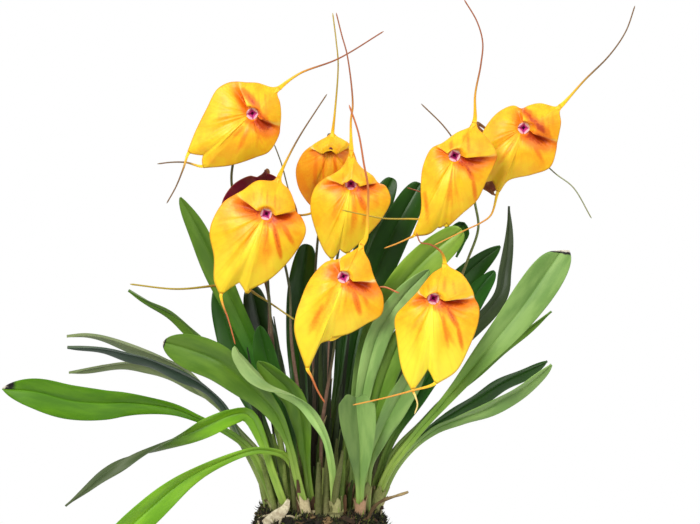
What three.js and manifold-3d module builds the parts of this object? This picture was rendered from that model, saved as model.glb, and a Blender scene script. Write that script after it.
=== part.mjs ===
// Masdevallia orchid, potted: strap leaves and ten blooms on thin stems, rising from a mossy root ball in a
// plain round clay pot. Millimetres, +Z up. The origin is the middle of the pot's flat underside, and the blooms
// face -Y. Each leaf, stem, bloom and column is a closed solid of its own.
import * as THREE from "three";
import { mergeVertices } from "three/addons/utils/BufferGeometryUtils.js";
import Module from "manifold-3d";

const wasm = await Module();
wasm.setup();
const RAD = Math.PI / 180;

// ---- Driving dimensions ----
const TOUCH_GAP = 0.3; // between two pieces that touch
const SLIVER = 0.02; // joined solids lose facets finer than this

const POT = {
  height: 68, rimRadius: 46, rimHeight: 13, collarStep: 3, baseRadius: 32, wall: 4, floor: 7, edge: 1.2,
  drainRadius: 3.5, drainCircle: 16, drains: 3, sides: 24,
};
const MEDIUM = { level: 84, rootBallRadius: 36, ripple: 0.8, sides: 24, fillLevel: 60 };
const STICK = { points: [[25, -20, 78], [31, -24, 90], [48, -30, 98]], radius: 1.1 };

const FOOT_LEVEL = 76; // leaf feet and stem feet stand this high, under the medium's surface
const PETIOLE = { width: 4.6, thickness: 3.1, edge: 0.6, fold: 12, end: 0.2 };
const BLADE = { thickness: 0.7, rib: 1.25, fold: 17, widen: 2, taper: 0.35 };
const NO_NOTCH = { depth: 0, width: 1.3 }; // the tip of a leaf: how deep its midrib is notched, and how wide it ends
const NOTCH_FROM = 0.9; // of the leaf's length
const HOLE_RINGS = [0, 0.05, 0.13];
const LEAF_RINGS = [0, 0.05, 0.13, 0.24, 0.36, 0.48, 0.6, 0.71, 0.81, 0.9, 0.96, 1];

const STEM = { radius: 1.05, sides: 5, step: 20, ovaryRadius: 1.75, ovaryLength: 8 };
const CUP = { mouthRadius: 3.2, floorRadius: 2.4, depth: 7, wall: 0.8, endRadius: 2.3 };
const SEPAL = {
  thickness: 0.8, hood: 5, hoodEdge: 0.18, hoodBack: 8, bulge: 5, sideBack: 4.5, lobeBack: 2.5,
  furrow: { depth: 1.1, at: 162, spread: 7 },
};
const LIMB_RINGS = [0.18, 0.42, 0.7, 1];
const TAIL = { rootRadius: 1.2, tipRadius: 0.45, thinning: 2.4, sides: 4, step: 19, rootInset: 5 };
const COLUMN = { radius: 1.25, flare: 2.35, lobe: 0.25, dip: 1.3, spokes: 8 };

// A bloom's rim is given by its points from the dorsal tail's root clockwise. Each has its station, an angle in
// degrees: 0 at the dorsal tail, 88 where the hood of the dorsal sepal meets the rim, 171 at the tail of a lobe and
// 180 in the notch between the lobes. Left of the bloom they are negative.
const STATIONS = [0, 10, 42, 76, 88, 100, 121, 142, 160, 171, 176, 180, -176, -171, -160, -142, -121, -100, -88, -76,
  -42, -10];
const HOOD_END = [80, 96]; // the hood of the dorsal sepal fades out between these stations
const LOWER_SPAN = 60; // and below them the joined side sepals swell over this many degrees
const LOBE_STATION = 171;

// ---- Where things stand: millimetres, rounded ----
// A bloom: its mouth, how far it nods, its rim from the mouth (to its right and up, one point for each station),
// the points of its three tails, the foot of its stem, and the stem's points from the ovary down. One that faces
// away has away: true.
const BLOOMS = [
  { name: "upper_left", mouth: [-37, 0, 302], nod: 4,
    rim: [[15, 14], [13.8, 10.8], [15.2, 6], [15.8, -1], [15.2, -7.8], [14.6, -12], [9, -21.3], [2, -24.3],
      [-12, -28.8], [-27.5, -29.3], [-28, -26], [-27.5, -23.2], [-31, -22.8], [-35, -21.5], [-31.5, -10],
      [-25.5, 2], [-19.5, 13], [-14, 16.5], [-8.5, 17.4], [-3.5, 17.1], [3, 16.8], [11, 14.4]],
    top: [[-11, 2, 324], [10, 4, 332], [35, 8, 347]],
    lobeLeft: [[-75, 2, 272], [-79, 0, 262], [-84, -2, 253]],
    lobeRight: [[-74, 8, 275], [-82, 10, 275], [-90, 12, 274]],
    foot: [-14, 14], stem: [[-41, 20, 291], [-47, 28, 280], [-50, 32, 266], [-48, 36, 250], [-39, 38, 224],
      [-30, 34, 202], [-28, 28, 163], [-20, 20, 128]] },
  { name: "left", mouth: [-29, -15, 248], nod: 3,
    rim: [[7.2, 20.5], [8.6, 17], [12.5, 13], [15.6, 5], [16.3, 1], [19.3, -2.5], [21.5, -10], [15, -22.5],
      [2, -36], [-10.8, -43.3], [-13, -41], [-15, -38], [-19, -40.5], [-25, -44], [-28.8, -37],
      [-28.8, -24], [-31, -9], [-24, 5.5], [-17.3, 10.2], [-12.5, 13], [-5, 18], [4, 18.2]],
    top: [[-18, -16, 277], [-11, -15, 290], [-2, -13, 304], [4, -11, 313]],
    lobeLeft: [[-53, -14, 199], [-50, -15, 191], [-46, -17, 177]],
    lobeRight: [[-38, -6, 206], [-36, 2, 211], [-35, 6, 220]],
    foot: [-7, -3], stem: [[-25, 6, 237], [-21, 10, 224], [-17, 10, 204], [-16, 6, 177], [-11, 2, 138]] },
  { name: "back_centre", mouth: [5, 14, 283], nod: 26,
    rim: [[1.8, 7.2], [4, 5.8], [8, 3.2], [10.5, 1.5], [12, -1.5], [14, -6], [16, -14], [16, -25],
      [12, -35], [7, -42], [3, -39.5], [0, -37], [-3, -39.5], [-7, -42], [-12, -37],
      [-17.3, -27.5], [-18.7, -16], [-15.5, -7.2], [-11.2, -2], [-8, 1], [-5, 3.2], [-0.5, 6]],
    top: [[8, 10, 301], [10, 8, 329], [9, 8, 341], [7, 9, 357]],
    lobeLeft: [[-14, 30, 245], [-18, 34, 258], [-22, 34, 273], [-26, 33, 284]],
    lobeRight: [[14, 20, 231], [18, 24, 219], [20, 28, 208]],
    foot: [-3, 12], stem: [[4, 34, 267], [1, 38, 250], [-2, 40, 227], [-4, 40, 190], [-4, 34, 151], [-3, 26, 123]] },
  { name: "centre", mouth: [17, -10, 264], nod: 6,
    rim: [[0.2, 18.5], [1.6, 15.5], [5.5, 9.2], [12, 4.2], [15, 0.2], [19, -1.8], [21.8, -9], [18, -18],
      [9, -29], [-2, -38.5], [-4.5, -38], [-6.2, -36.5], [-7.5, -39], [-10.5, -41.5], [-14.5, -38],
      [-19.5, -26], [-22.3, -13], [-20, -3], [-14.5, 2.6], [-9, 5.6], [-5, 8.8], [-1.6, 15]],
    top: [[17, -10, 299], [18, -10, 307], [15, -8, 334], [12, -7, 345], [9, -6, 357]],
    lobeLeft: [[9, -4, 215], [10, 0, 205], [12, 3, 196]],
    lobeRight: [[18, -2, 221], [23, 2, 214], [31, 6, 210]],
    foot: [5, 2], stem: [[15, 12, 251], [11, 18, 231], [7, 20, 203], [5, 16, 170], [5, 8, 132]] },
  { name: "lower_centre", mouth: [13, -40, 216], nod: 4,
    rim: [[10, 17.5], [11.2, 13.5], [14, 8], [16, 1], [18, -3.8], [21.3, -11], [20.5, -21], [12, -26.3],
      [3, -31.3], [-7, -34.3], [-11, -36], [-12.5, -37], [-15.5, -43.5], [-19.5, -50], [-26.6, -28],
      [-22.3, -11], [-17.5, -1], [-9.5, 7.5], [-2.6, 9.3], [0, 11.1], [4, 13.3], [8.2, 16]],
    top: [[25, -40, 237], [26, -41, 251], [26, -42, 265], [24, -42, 276], [21, -42, 293], [16, -41, 308]],
    lobeLeft: [[-4, -40, 162], [-1, -40, 155], [3, -39, 148]],
    lobeRight: [[14, -31, 186], [24, -31, 202], [33, -33, 210], [43, -36, 207]],
    foot: [1, -8], stem: [[12, -22, 204], [9, -18, 191], [8, -17, 177], [3, -15, 145], [1, -13, 129]] },
  { name: "lower_right", mouth: [61, -45, 205], nod: 3,
    rim: [[6, 18.5], [8.5, 16.8], [15.5, 12.5], [21, 4], [22.3, -0.5], [24.5, -5], [24.3, -13], [19, -28],
      [12.5, -40], [1.5, -46.2], [-1, -42], [-2.8, -38.8], [-6, -44], [-10.8, -49.5], [-16.5, -40],
      [-19.3, -24], [-20.3, -10.5], [-14.5, -3.5], [-9, 2.5], [-6.5, 6], [-0.5, 13.2], [4.8, 16.8]],
    top: [[65, -46, 230], [59, -46, 234], [54, -45, 235], [52, -42, 240]],
    lobeLeft: [[51.6, -46, 152], [52.6, -46, 148], [51, -46, 143]],
    lobeRight: [[49, -43, 155], [32, -46, 151], [18, -47, 148]],
    foot: [20, -2], stem: [[60, -27, 196], [56, -14, 176], [48, -4, 153], [40, 0, 133], [30, 2, 113]] },
  { name: "upper_right", mouth: [73, -20, 280], nod: 3,
    rim: [[10.7, 18], [12.8, 14.5], [16.5, 10.8], [22, 3.5], [23.3, -0.8], [22, -5], [17.5, -14.5], [12.5, -24.7],
      [4.5, -32], [-3.5, -38], [-7.3, -39.7], [-8.8, -39.6], [-13.5, -43.2], [-21.5, -43.5], [-18, -30],
      [-18.2, -17], [-17, -6], [-13, 3], [-10, 5.2], [-6.5, 6.8], [1, 12.2], [9, 16]],
    top: [[84, -20, 313], [87, -19, 329], [88, -18, 341], [85, -17, 352], [78, -16, 364]],
    lobeLeft: [[47, -24, 235], [41, -26, 232.5], [35, -28, 230.5]],
    lobeRight: [[55, -14, 245], [35, -20, 246], [25, -23, 248], [12, -26, 251]],
    foot: [19, 12], stem: [[73, -2, 270], [72, 4, 255], [70, 8, 237], [63, 10, 216], [53, 10, 187], [40, 8, 154],
      [29, 6, 121]] },
  { name: "far_right", mouth: [112, 5, 294], nod: 3,
    rim: [[20.5, 12], [20, 8.8], [20.7, 3], [19.6, -4], [18.8, -8.4], [18.4, -12.5], [15, -22], [5, -26],
      [-8, -29.3], [-13.8, -35.3], [-15.6, -32], [-17, -29.5], [-22, -30.5], [-27, -31], [-27, -17],
      [-22, -1.5], [-14, 8.5], [-5.5, 12.2], [-1, 10.6], [2.5, 12.2], [9, 13.6], [18, 11.7]],
    top: [[145, 6, 320], [159, 7, 334], [168, 9, 347], [173, 10, 361]],
    lobeLeft: [[77, 14, 282], [69, 18, 294], [56, 20, 307]],
    lobeRight: [[94, -2, 247], [88, -10, 243], [80, -18, 240], [62, -26, 232]],
    foot: [19, 20], stem: [[105, 24, 282], [92, 25, 270], [86, 22, 257], [88, 20, 238], [82, 23, 219], [72, 26, 192],
      [56, 20, 156], [34, 18, 120]] },
  { name: "back_left", mouth: [-31, 26, 252], nod: 0, away: true,
    rim: [[-1, 17.5], [1.5, 16], [3, 15], [4.2, 14.3], [5.5, 14.5], [8, 15], [17, 10.5], [24, 0],
      [24, -18], [17, -45], [15.5, -43], [14.5, -41], [13.5, -43], [12, -45], [-8, -34],
      [-18, -18], [-18, -4], [-14, 5], [-11, 9], [-9.5, 11], [-6, 14.5], [-2.8, 16]],
    top: [[-29, 32, 268], [-30, 36, 265], [-31, 39, 260]],
    lobeLeft: [[-37, 16, 202], [-28, 10, 197], [-14, 4, 188]],
    lobeRight: [[-61, 13, 206], [-80, 7, 205], [-105, 4, 208]],
    foot: [-12, 3], stem: [[-33, 7, 240], [-30, 2, 227], [-28, 1, 199], [-25, 3, 166], [-16, 5, 126]] },
  { name: "back_right", mouth: [90, 36, 276], nod: 20, away: true,
    rim: [[2, 19.5], [4.5, 16], [10, 11], [13, 4], [14, 1], [15.5, -3], [16.5, -9], [14, -15],
      [9, -20], [3.5, -22], [1, -20.5], [-1, -19], [-3.5, -20.5], [-6.5, -21.5], [-10.5, -18],
      [-14, -12], [-15.5, -5], [-14.5, -1], [-13, 2], [-12, 5], [-8, 11.5], [-1, 16]],
    top: [[94, 45, 292], [107, 38, 286], [121, 26, 277], [131, 16, 268], [140, 12, 261], [150, 9, 244]],
    lobeLeft: [[99, 32, 256], [102, 36, 262], [103, 39, 270]],
    lobeRight: [[72, 17, 253], [60, 13, 257], [48, 10, 261]],
    foot: [13, 15], stem: [[85, 17, 266], [78, 13, 253], [70, 14, 239], [62, 16, 215], [53, 16, 180], [40, 16, 140],
      [26, 17, 112]] },
];

// A leaf: its foot, the points of its midrib, the widest its blade gets, and how far its face tips up from
// facing -Y at the foot, half way and at the tip, in degrees. Some have a widen, a taper or a notched tip of their
// own. A plant's growths that share one foot are one node.
const LEAVES = [
  { name: "leaf_far_left", foot: [-22, -8], width: 20.5, rolls: [0, 10, 5], widen: 2.6, taper: 0.75,
    ribs: [[[-30, -10, 101], [-39, -12, 119], [-51, -16, 129], [-65, -19, 136], [-79, -21, 142],
      [-95, -24, 145], [-106, -26, 146], [-117, -28, 146], [-135, -31, 148], [-153, -33, 153], [-171, -34, 155]]] },
  { name: "leaf_twisted", foot: [-15, -15], width: 13, rolls: [15, 30, 180], widen: 0.85, taper: 1,
    ribs: [[[-26, -20, 108], [-31, -22, 125], [-39, -26, 140], [-48, -30, 140], [-61, -35, 135],
      [-71, -39, 131], [-88, -44, 125], [-101, -48, 120], [-115, -51, 111], [-125, -54, 103], [-135, -56, 95]]] },
  { name: "leaf_low_left", foot: [-9, -17], width: 18, rolls: [10, 20, 20], taper: 0.5,
    ribs: [[[-13, -19, 106], [-18, -22, 116], [-26, -27, 120], [-36, -31, 121], [-53, -37, 116], [-72, -44, 107],
      [-90, -51, 93], [-107, -57, 77], [-118, -62, 59]]] },
  { name: "leaf_left_broad", foot: [-17, -2], width: 17, rolls: [30, 55, 75], widen: 1.6, taper: 0.8,
    ribs: [[[-24, -1, 101], [-45, 4, 121], [-52, 7, 137], [-64, 9, 149], [-75, 10, 159], [-86, 11, 165],
      [-97, 11, 170], [-111, 12, 175], [-122, 12, 178], [-131, 12, 179], [-141, 12, 178]]] },
  { name: "leaf_left_pair", foot: [-24, 5], width: 13, rolls: [30, 50, 65], widen: 1.6, taper: 0.8,
    ribs: [
      [[-34, -2, 103], [-45, -4, 125], [-53, -10, 143], [-64, -14, 154], [-74, -16, 160], [-84, -18, 165],
        [-93, -19, 169], [-104, -20, 172], [-117, -21, 175], [-128, -22, 176], [-137, -22, 176]],
      [[-30, 12, 106], [-46, 18, 125], [-62, 24, 143], [-74, 28, 150], [-85, 31, 155], [-97, 33, 159],
        [-109, 36, 160], [-123, 38, 158], [-143, 39, 154]],
    ] },
  { name: "leaf_mid_left", foot: [-5, -22], width: 22, rolls: [10, 15, 10], widen: 1.7, taper: 0.5,
    ribs: [[[-12, -24, 104], [-16, -28, 122], [-23, -33, 140], [-36, -38, 156], [-54, -43, 171], [-70, -46, 178],
      [-83, -48, 182]]] },
  { name: "leaf_thin_left", foot: [-19, 9], width: 11, rolls: [40, 50, 50], widen: 1.3, taper: 0.85,
    ribs: [[[-21, 12, 113], [-29, 20, 136], [-46, 26, 153], [-65, 32, 171], [-82, 37, 186], [-97, 39, 194],
      [-109, 41, 201]]] },
  { name: "leaf_upright_left", foot: [-13, 20], width: 16, rolls: [15, 20, 30], widen: 1.5, taper: 0.6,
    ribs: [[[-16, 24, 113], [-28, 29, 145], [-41, 32, 176], [-54, 34, 204], [-67, 36, 232], [-79, 38, 254]]] },
  { name: "leaf_dark_left", foot: [-20, 17], width: 17, rolls: [20, 20, 10], widen: 1.2, taper: 0.6,
    ribs: [[[-27, 26, 112], [-40, 36, 142], [-49, 42, 168], [-55, 46, 191], [-56, 50, 211]]] },
  { name: "leaf_centre_back", foot: [-5, 21], width: 17, rolls: [0, 5, 0], widen: 0.9,
    ribs: [
      [[-8, 28, 112], [-11, 40, 144], [-12, 48, 173], [-11, 52, 201], [-8, 56, 226]],
      [[-3, 31, 112], [-2, 42, 146], [0, 50, 180], [3, 55, 212]],
      [[-14, 31, 112], [-25, 44, 146], [-34, 52, 176], [-40, 57, 202]],
    ] },
  { name: "leaf_centre_left", foot: [-11, -9], width: 15, rolls: [20, 25, 20], widen: 1.2, taper: 0.5,
    ribs: [[[-14, -8, 116], [-22, -6, 147], [-29, -6, 168], [-33, -6, 186]]] },
  { name: "leaf_curled", foot: [9, -22], width: 11, rolls: [20, 25, 155], widen: 1.2,
    ribs: [[[8, -25, 97], [7, -28, 111], [4, -31, 126], [-1, -35, 137], [-7, -39, 146], [-14, -42, 152],
      [-20, -45, 155], [-26, -47, 158], [-33, -50, 164], [-39, -52, 171], [-43, -53, 176], [-45, -51, 180]]] },
  { name: "leaf_behind_curled", foot: [-3, -14], width: 14, rolls: [10, 15, 20], widen: 1.2, taper: 0.5,
    ribs: [[[-7, -17, 108], [-9, -20, 130], [-12, -24, 145], [-18, -28, 155], [-26, -32, 163], [-33, -35, 170]]] },
  { name: "leaf_notched", foot: [22, -17], width: 20, rolls: [0, 0, 0], widen: 1.2, taper: 0.3,
    notch: { depth: 4.5, width: 15 },
    ribs: [[[22, -22, 104], [22, -26, 121], [21, -29, 135], [20, -33, 148], [20, -37, 152]]] },
  { name: "leaf_long_pale", foot: [14, 5], width: 20, rolls: [20, 15, 10], widen: 1.2,
    ribs: [[[16, -1, 113], [20, -5, 145], [27, -9, 176], [41, -13, 204], [58, -16, 224], [77, -18, 240]]] },
  { name: "leaf_sage_pair", foot: [16, -8], width: 14, rolls: [10, 12, 15], widen: 1.2, taper: 0.5,
    ribs: [
      [[19, -12, 115], [22, -16, 141], [26, -20, 163], [33, -24, 186], [45, -27, 204], [59, -29, 219]],
      [[24, -10, 115], [30, -13, 138], [36, -16, 160], [44, -19, 180], [53, -21, 195]],
    ] },
  { name: "leaf_low_right", foot: [25, -10], width: 15, rolls: [10, 15, 20], widen: 1.2, taper: 0.5,
    ribs: [[[27, -17, 111], [33, -22, 128], [41, -27, 145], [49, -32, 160], [55, -34, 175]]] },
  { name: "leaf_big_right", foot: [28, -4], width: 21.5, rolls: [5, 5, 5], taper: 0.38,
    notch: { depth: 0, width: 7 },
    ribs: [[[36, -9, 103], [50, -15, 124], [68, -20, 146], [87, -24, 170], [108.5, -27, 197],
      [130.5, -29, 229.5]]] },
  { name: "leaf_right_pair", foot: [29, 4], width: 12, rolls: [30, 33, 40], widen: 1.7, taper: 0.65,
    ribs: [
      [[42, 0, 107], [63, -4, 128], [77, -10, 135], [90, -17, 141], [101, -22, 148], [111, -28, 155],
        [119, -31, 162], [125, -33, 168]],
      [[42, 10, 109], [61, 10, 127], [75, 10, 136], [89, 8, 145], [102, 4, 154], [116, 0, 161], [125, -4, 166]],
    ] },
  { name: "leaf_dark_upright", foot: [22, 17], width: 13, rolls: [40, 36, 40], widen: 1.2, taper: 0.9,
    ribs: [[[36, 22, 113], [56, 32, 145], [79, 39, 173], [101, 45, 198], [104, 48, 211], [106, 50, 226],
      [107, 52, 248]]] },
  { name: "leaf_dark_broad", foot: [13, 23], width: 19, rolls: [30, 30, 20], widen: 1.3, taper: 0.65,
    ribs: [[[25, 34, 117], [42, 46, 150], [59, 55, 180], [77, 61, 202], [91, 65, 215], [103, 67, 224]]] },
  { name: "leaf_mid_right", foot: [24, 7], width: 16.5, rolls: [20, 20, 25], widen: 1.2, taper: 0.5,
    ribs: [[[39, 12, 118], [55, 14, 146], [69, 14, 171], [81, 16, 193], [89, 18, 205], [97, 20, 214]]] },
  { name: "leaf_tall_centre", foot: [8, 10], width: 20, rolls: [10, 15, 15], widen: 1.2,
    ribs: [[[11, 14, 114], [14, 20, 141], [19, 26, 169], [27, 31, 200], [40, 35, 233], [56, 38, 262]]] },
  { name: "leaf_tall_behind", foot: [4, 26], width: 16, rolls: [0, 0, 0], widen: 1.2,
    ribs: [[[5, 36, 116], [10, 48, 149], [16, 58, 189], [27, 65, 225], [34, 69, 248], [41, 71, 263]]] },
  { name: "leaf_hooked", foot: [9, 18], width: 10, rolls: [30, 40, 40], taper: 0.9,
    ribs: [[[14, 27, 115], [23, 36, 148], [38, 43, 181], [56, 47, 211], [71, 49, 231], [80, 51, 238],
      [83, 51, 233], [81, 51, 228], [79, 50, 223], [77, 50, 219]]] },
  { name: "leaf_right_tip", foot: [28, 13], width: 7.5, rolls: [20, 30, 40], widen: 1.4, taper: 0.8,
    ribs: [[[40, 20, 110], [59, 24, 130], [79, 27, 149], [104, 29, 170], [130, 30, 190]]] },
  { name: "leaf_rear_group", foot: [3, 31], width: 18, rolls: [0, 0, 0], taper: 0.6,
    ribs: [
      [[-12, 38, 99], [-21, 58, 124], [-35, 80, 151], [-48, 98, 166], [-58, 116, 170]],
      [[18, 40, 101], [29, 60, 130], [44, 80, 154], [61, 98, 169], [73, 116, 174]],
      [[3, 46, 103], [1, 64, 135], [-1, 82, 165], [-3, 100, 183], [-4, 120, 190]],
    ] },
];

// ---- Materials ----
const plain = (color, roughness) => new THREE.MeshStandardMaterial({ color, roughness, metalness: 0 });
const clay = plain(0xb4653f, 0.9);
const moss = plain(0x3a3a1c, 1);
const leafGreen = plain(0x4c8a3a, 0.45);
const stemBrown = plain(0x6b5a4a, 0.6);
const sepalYellow = plain(0xf4a81c, 0.5);
const columnPink = plain(0xb8437f, 0.5);

// ---- Helpers ----
const vec = (p) => new THREE.Vector3(...p);
const mix = (a, b, t) => a + (b - a) * t;
const clamp01 = (t) => Math.min(1, Math.max(0, t));
const smooth = (t) => clamp01(t) ** 2 * (3 - 2 * clamp01(t));
const curveThrough = (points) => new THREE.CatmullRomCurve3(points.map(vec), false, "centripetal");

// A closed mesh from rings of points that all have the same count. A ring of one point is a pole.
function closedRings(rings) {
  const position = [];
  const index = [];
  const start = rings.map((ring) => {
    const first = position.length / 3;
    ring.forEach((p) => position.push(p.x, p.y, p.z));
    return first;
  });
  for (let i = 0; i + 1 < rings.length; i++) {
    const [a, b] = [rings[i], rings[i + 1]];
    const n = Math.max(a.length, b.length);
    for (let k = 0; k < n; k++) {
      const next = (k + 1) % n;
      const [a0, a1] = a.length === 1 ? [start[i], start[i]] : [start[i] + k, start[i] + next];
      const [b0, b1] = b.length === 1 ? [start[i + 1], start[i + 1]] : [start[i + 1] + k, start[i + 1] + next];
      if (a0 !== a1) index.push(a0, a1, b1);
      if (b0 !== b1) index.push(a0, b1, b0);
    }
  }
  const geometry = new THREE.BufferGeometry();
  geometry.setAttribute("position", new THREE.Float32BufferAttribute(position, 3));
  geometry.setIndex(index);
  return geometry;
}

const middleOf = (ring) => ring.reduce((sum, p) => sum.add(p), new THREE.Vector3()).divideScalar(ring.length);
const capped = (rings) => closedRings([[middleOf(rings[0])], ...rings, [middleOf(rings.at(-1))]]);

function solidOf(geometry) {
  const bare = geometry.clone();
  ["normal", "uv"].forEach((name) => bare.deleteAttribute(name));
  const merged = mergeVertices(bare, 1e-4);
  const mesh = new wasm.Mesh({
    numProp: 3,
    vertProperties: new Float32Array(merged.attributes.position.array),
    triVerts: new Uint32Array(merged.index.array),
  });
  const solid = new wasm.Manifold(mesh);
  if (solid.volume() > 0) return solid;
  mesh.triVerts.reverse();
  return new wasm.Manifold(new wasm.Mesh(mesh));
}

function meshOf(name, solid, material) {
  const { vertProperties, triVerts } = solid.simplify(SLIVER).getMesh();
  const geometry = new THREE.BufferGeometry();
  geometry.setAttribute("position", new THREE.BufferAttribute(new Float32Array(vertProperties), 3));
  geometry.setIndex(new THREE.BufferAttribute(new Uint32Array(triVerts), 1));
  geometry.computeVertexNormals();
  const mesh = new THREE.Mesh(geometry, material);
  mesh.name = name;
  return mesh;
}

const union = (solids) => solids.reduce((sum, solid) => sum.add(solid));

// The same body with any hollow that joining has sealed filled up.
const filled = (solid) => solid.decompose().reduce((a, b) => (a.volume() > b.volume() ? a : b));

// A round rod along a curve: radiusAt(s) gives its radius at the share s of its length.
function rod(curve, radiusAt, sides, step, grow = 0) {
  const steps = Math.max(3, Math.round(curve.getLength() / step));
  const rings = [];
  let side = new THREE.Vector3(1, 0, 0);
  for (let i = 0; i <= steps; i++) {
    const s = i / steps;
    const along = curve.getTangentAt(s);
    side = side.clone().addScaledVector(along, -side.dot(along)).normalize();
    const up = along.clone().cross(side);
    const middle = curve.getPointAt(s);
    if (grow && i === 0) middle.addScaledVector(along, -grow);
    rings.push(Array.from({ length: sides }, (_, k) => {
      const turn = (2 * Math.PI * k) / sides;
      return middle.clone()
        .addScaledVector(side, (radiusAt(s) + grow) * Math.cos(turn))
        .addScaledVector(up, (radiusAt(s) + grow) * Math.sin(turn));
    }));
  }
  return solidOf(capped(rings));
}

// ---- Pot and medium ----
const potInnerRadius = (z) => mix(POT.baseRadius, POT.rimRadius - POT.collarStep, z / POT.height) - POT.wall;

function potSolid() {
  const { height, rimRadius, rimHeight, collarStep, baseRadius, floor, edge } = POT;
  const collar = height - rimHeight;
  const outer = (z) => mix(baseRadius, rimRadius - collarStep, z / height);
  const profile = [
    [0, 0], [baseRadius - edge, 0], [outer(edge), edge], [outer(collar), collar], [rimRadius - edge, collar],
    [rimRadius, collar + edge], [rimRadius, height - edge], [rimRadius - edge, height],
    [potInnerRadius(height) + edge, height], [potInnerRadius(height - edge), height - edge],
    [potInnerRadius(floor), floor], [0, floor],
  ].map((p) => new THREE.Vector2(...p));
  const turned = new THREE.LatheGeometry(profile, POT.sides).rotateX(Math.PI / 2);
  const drains = Array.from({ length: POT.drains }, (_, i) => {
    const angle = (2 * Math.PI * (i + 0.25)) / POT.drains;
    const drain = new THREE.CylinderGeometry(POT.drainRadius, POT.drainRadius, 3 * floor, 10).rotateX(Math.PI / 2);
    return solidOf(drain.translate(POT.drainCircle * Math.cos(angle), POT.drainCircle * Math.sin(angle), 0));
  });
  return solidOf(turned).subtract(union(drains));
}

// The medium fills the pot, and its mossy root ball stands over the rim with an uneven top.
function mediumSolid(holes) {
  const { level, rootBallRadius: ball, ripple, sides, fillLevel } = MEDIUM;
  const bottom = POT.floor + TOUCH_GAP;
  const profile = [
    [potInnerRadius(bottom) - TOUCH_GAP, bottom, 0], [potInnerRadius(fillLevel) - TOUCH_GAP, fillLevel, 0],
    [ball + 0.4, fillLevel + 6, 0.6], [ball, level - 8, 1], [ball - 3, level - 1, 1], [ball / 2, level + 0.4, 1.6],
  ];
  const rings = profile.map(([radius, z, rough]) => Array.from({ length: sides }, (_, k) => {
    const angle = (2 * Math.PI * k) / sides;
    const wave = ripple * rough * (Math.sin(3 * angle + z) + 0.7 * Math.sin(7 * angle + radius));
    return new THREE.Vector3((radius + wave / 2) * Math.cos(angle), (radius + wave / 2) * Math.sin(angle), z + wave);
  }));
  const body = solidOf(closedRings([[new THREE.Vector3(0, 0, bottom)], ...rings, [new THREE.Vector3(0, 0, level)]]));
  const stick = rod(curveThrough(STICK.points), () => STICK.radius, 5, 9);
  return body.add(stick).subtract(union(holes));
}

// ---- Leaves ----
// The blade's width at the share s of the leaf's length: a petiole, then an oblong blade. The more its taper, the
// more pointed its tip.
function leafWidth(s, { width, widen = BLADE.widen, taper = BLADE.taper, notch = NO_NOTCH }) {
  const u = clamp01((s - PETIOLE.end) / (1 - PETIOLE.end));
  const peak = widen / (widen + taper);
  const shape = (u ** widen * (1 - u) ** taper) / (peak ** widen * (1 - peak) ** taper);
  const stalk = mix(PETIOLE.width, notch.width, smooth(u));
  return Math.max(stalk, width * shape);
}

// One leaf, or with grow the hole that its foot stands in.
function leafSolid(leaf, rib, grow = 0) {
  const { foot, rolls, notch = NO_NOTCH } = leaf;
  const curve = curveThrough([[...foot, FOOT_LEVEL], ...rib]);
  const [from, to] = [curve.getPointAt(0), curve.getPointAt(1)];
  const tipUp = to.x < from.x ? 1 : -1;
  const rings = [];
  const shares = grow ? HOLE_RINGS : LEAF_RINGS;
  for (const s of shares) {
    const along = curve.getTangentAt(s);
    const middle = curve.getPointAt(s);
    if (grow && s === 0) middle.addScaledVector(along, -grow);
    const face = new THREE.Vector3(0, -1, 0);
    face.addScaledVector(along, -face.dot(along)).normalize();
    const roll = s < 0.5 ? mix(rolls[0], rolls[1], smooth(2 * s)) : mix(rolls[1], rolls[2], smooth(2 * s - 1));
    face.applyAxisAngle(along, -tipUp * roll * RAD * smooth(s / 0.25));
    const across = along.clone().cross(face);
    const thin = smooth((s - 0.1) / 0.4);
    const half = leafWidth(s, leaf) / 2 + grow;
    const fold = mix(PETIOLE.fold, BLADE.fold, thin) * RAD;
    const edge = mix(PETIOLE.thickness * PETIOLE.edge, BLADE.thickness, thin) / 2 + grow;
    const keel = mix(PETIOLE.thickness, BLADE.rib, thin) - edge + grow;
    const at = (x, z) => middle.clone().addScaledVector(across, x).addScaledVector(face, z);
    const [out, lift] = [half * Math.cos(fold), half * Math.sin(fold)];
    const ring = [at(-out, lift + edge), at(0, edge), at(out, lift + edge), at(out, lift - edge), at(0, -keel),
      at(-out, lift - edge)];
    const pull = notch.depth * smooth((s - NOTCH_FROM) / (1 - NOTCH_FROM));
    [ring[1], ring[4]].forEach((point) => point.addScaledVector(along, -pull));
    rings.push(ring);
  }
  return solidOf(capped(rings));
}

// ---- Blooms ----
// A bloom's own frame: x to its right, y up, z out of its face, origin at the mouth.
function bloomFrame({ mouth, nod, away }) {
  const frame = new THREE.Matrix4().makeBasis(
    new THREE.Vector3(1, 0, 0), new THREE.Vector3(0, 0, 1), new THREE.Vector3(0, -1, 0));
  if (away) frame.multiply(new THREE.Matrix4().makeRotationY(Math.PI));
  frame.multiply(new THREE.Matrix4().makeRotationX(nod * RAD));
  return frame.setPosition(...mouth);
}

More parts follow.
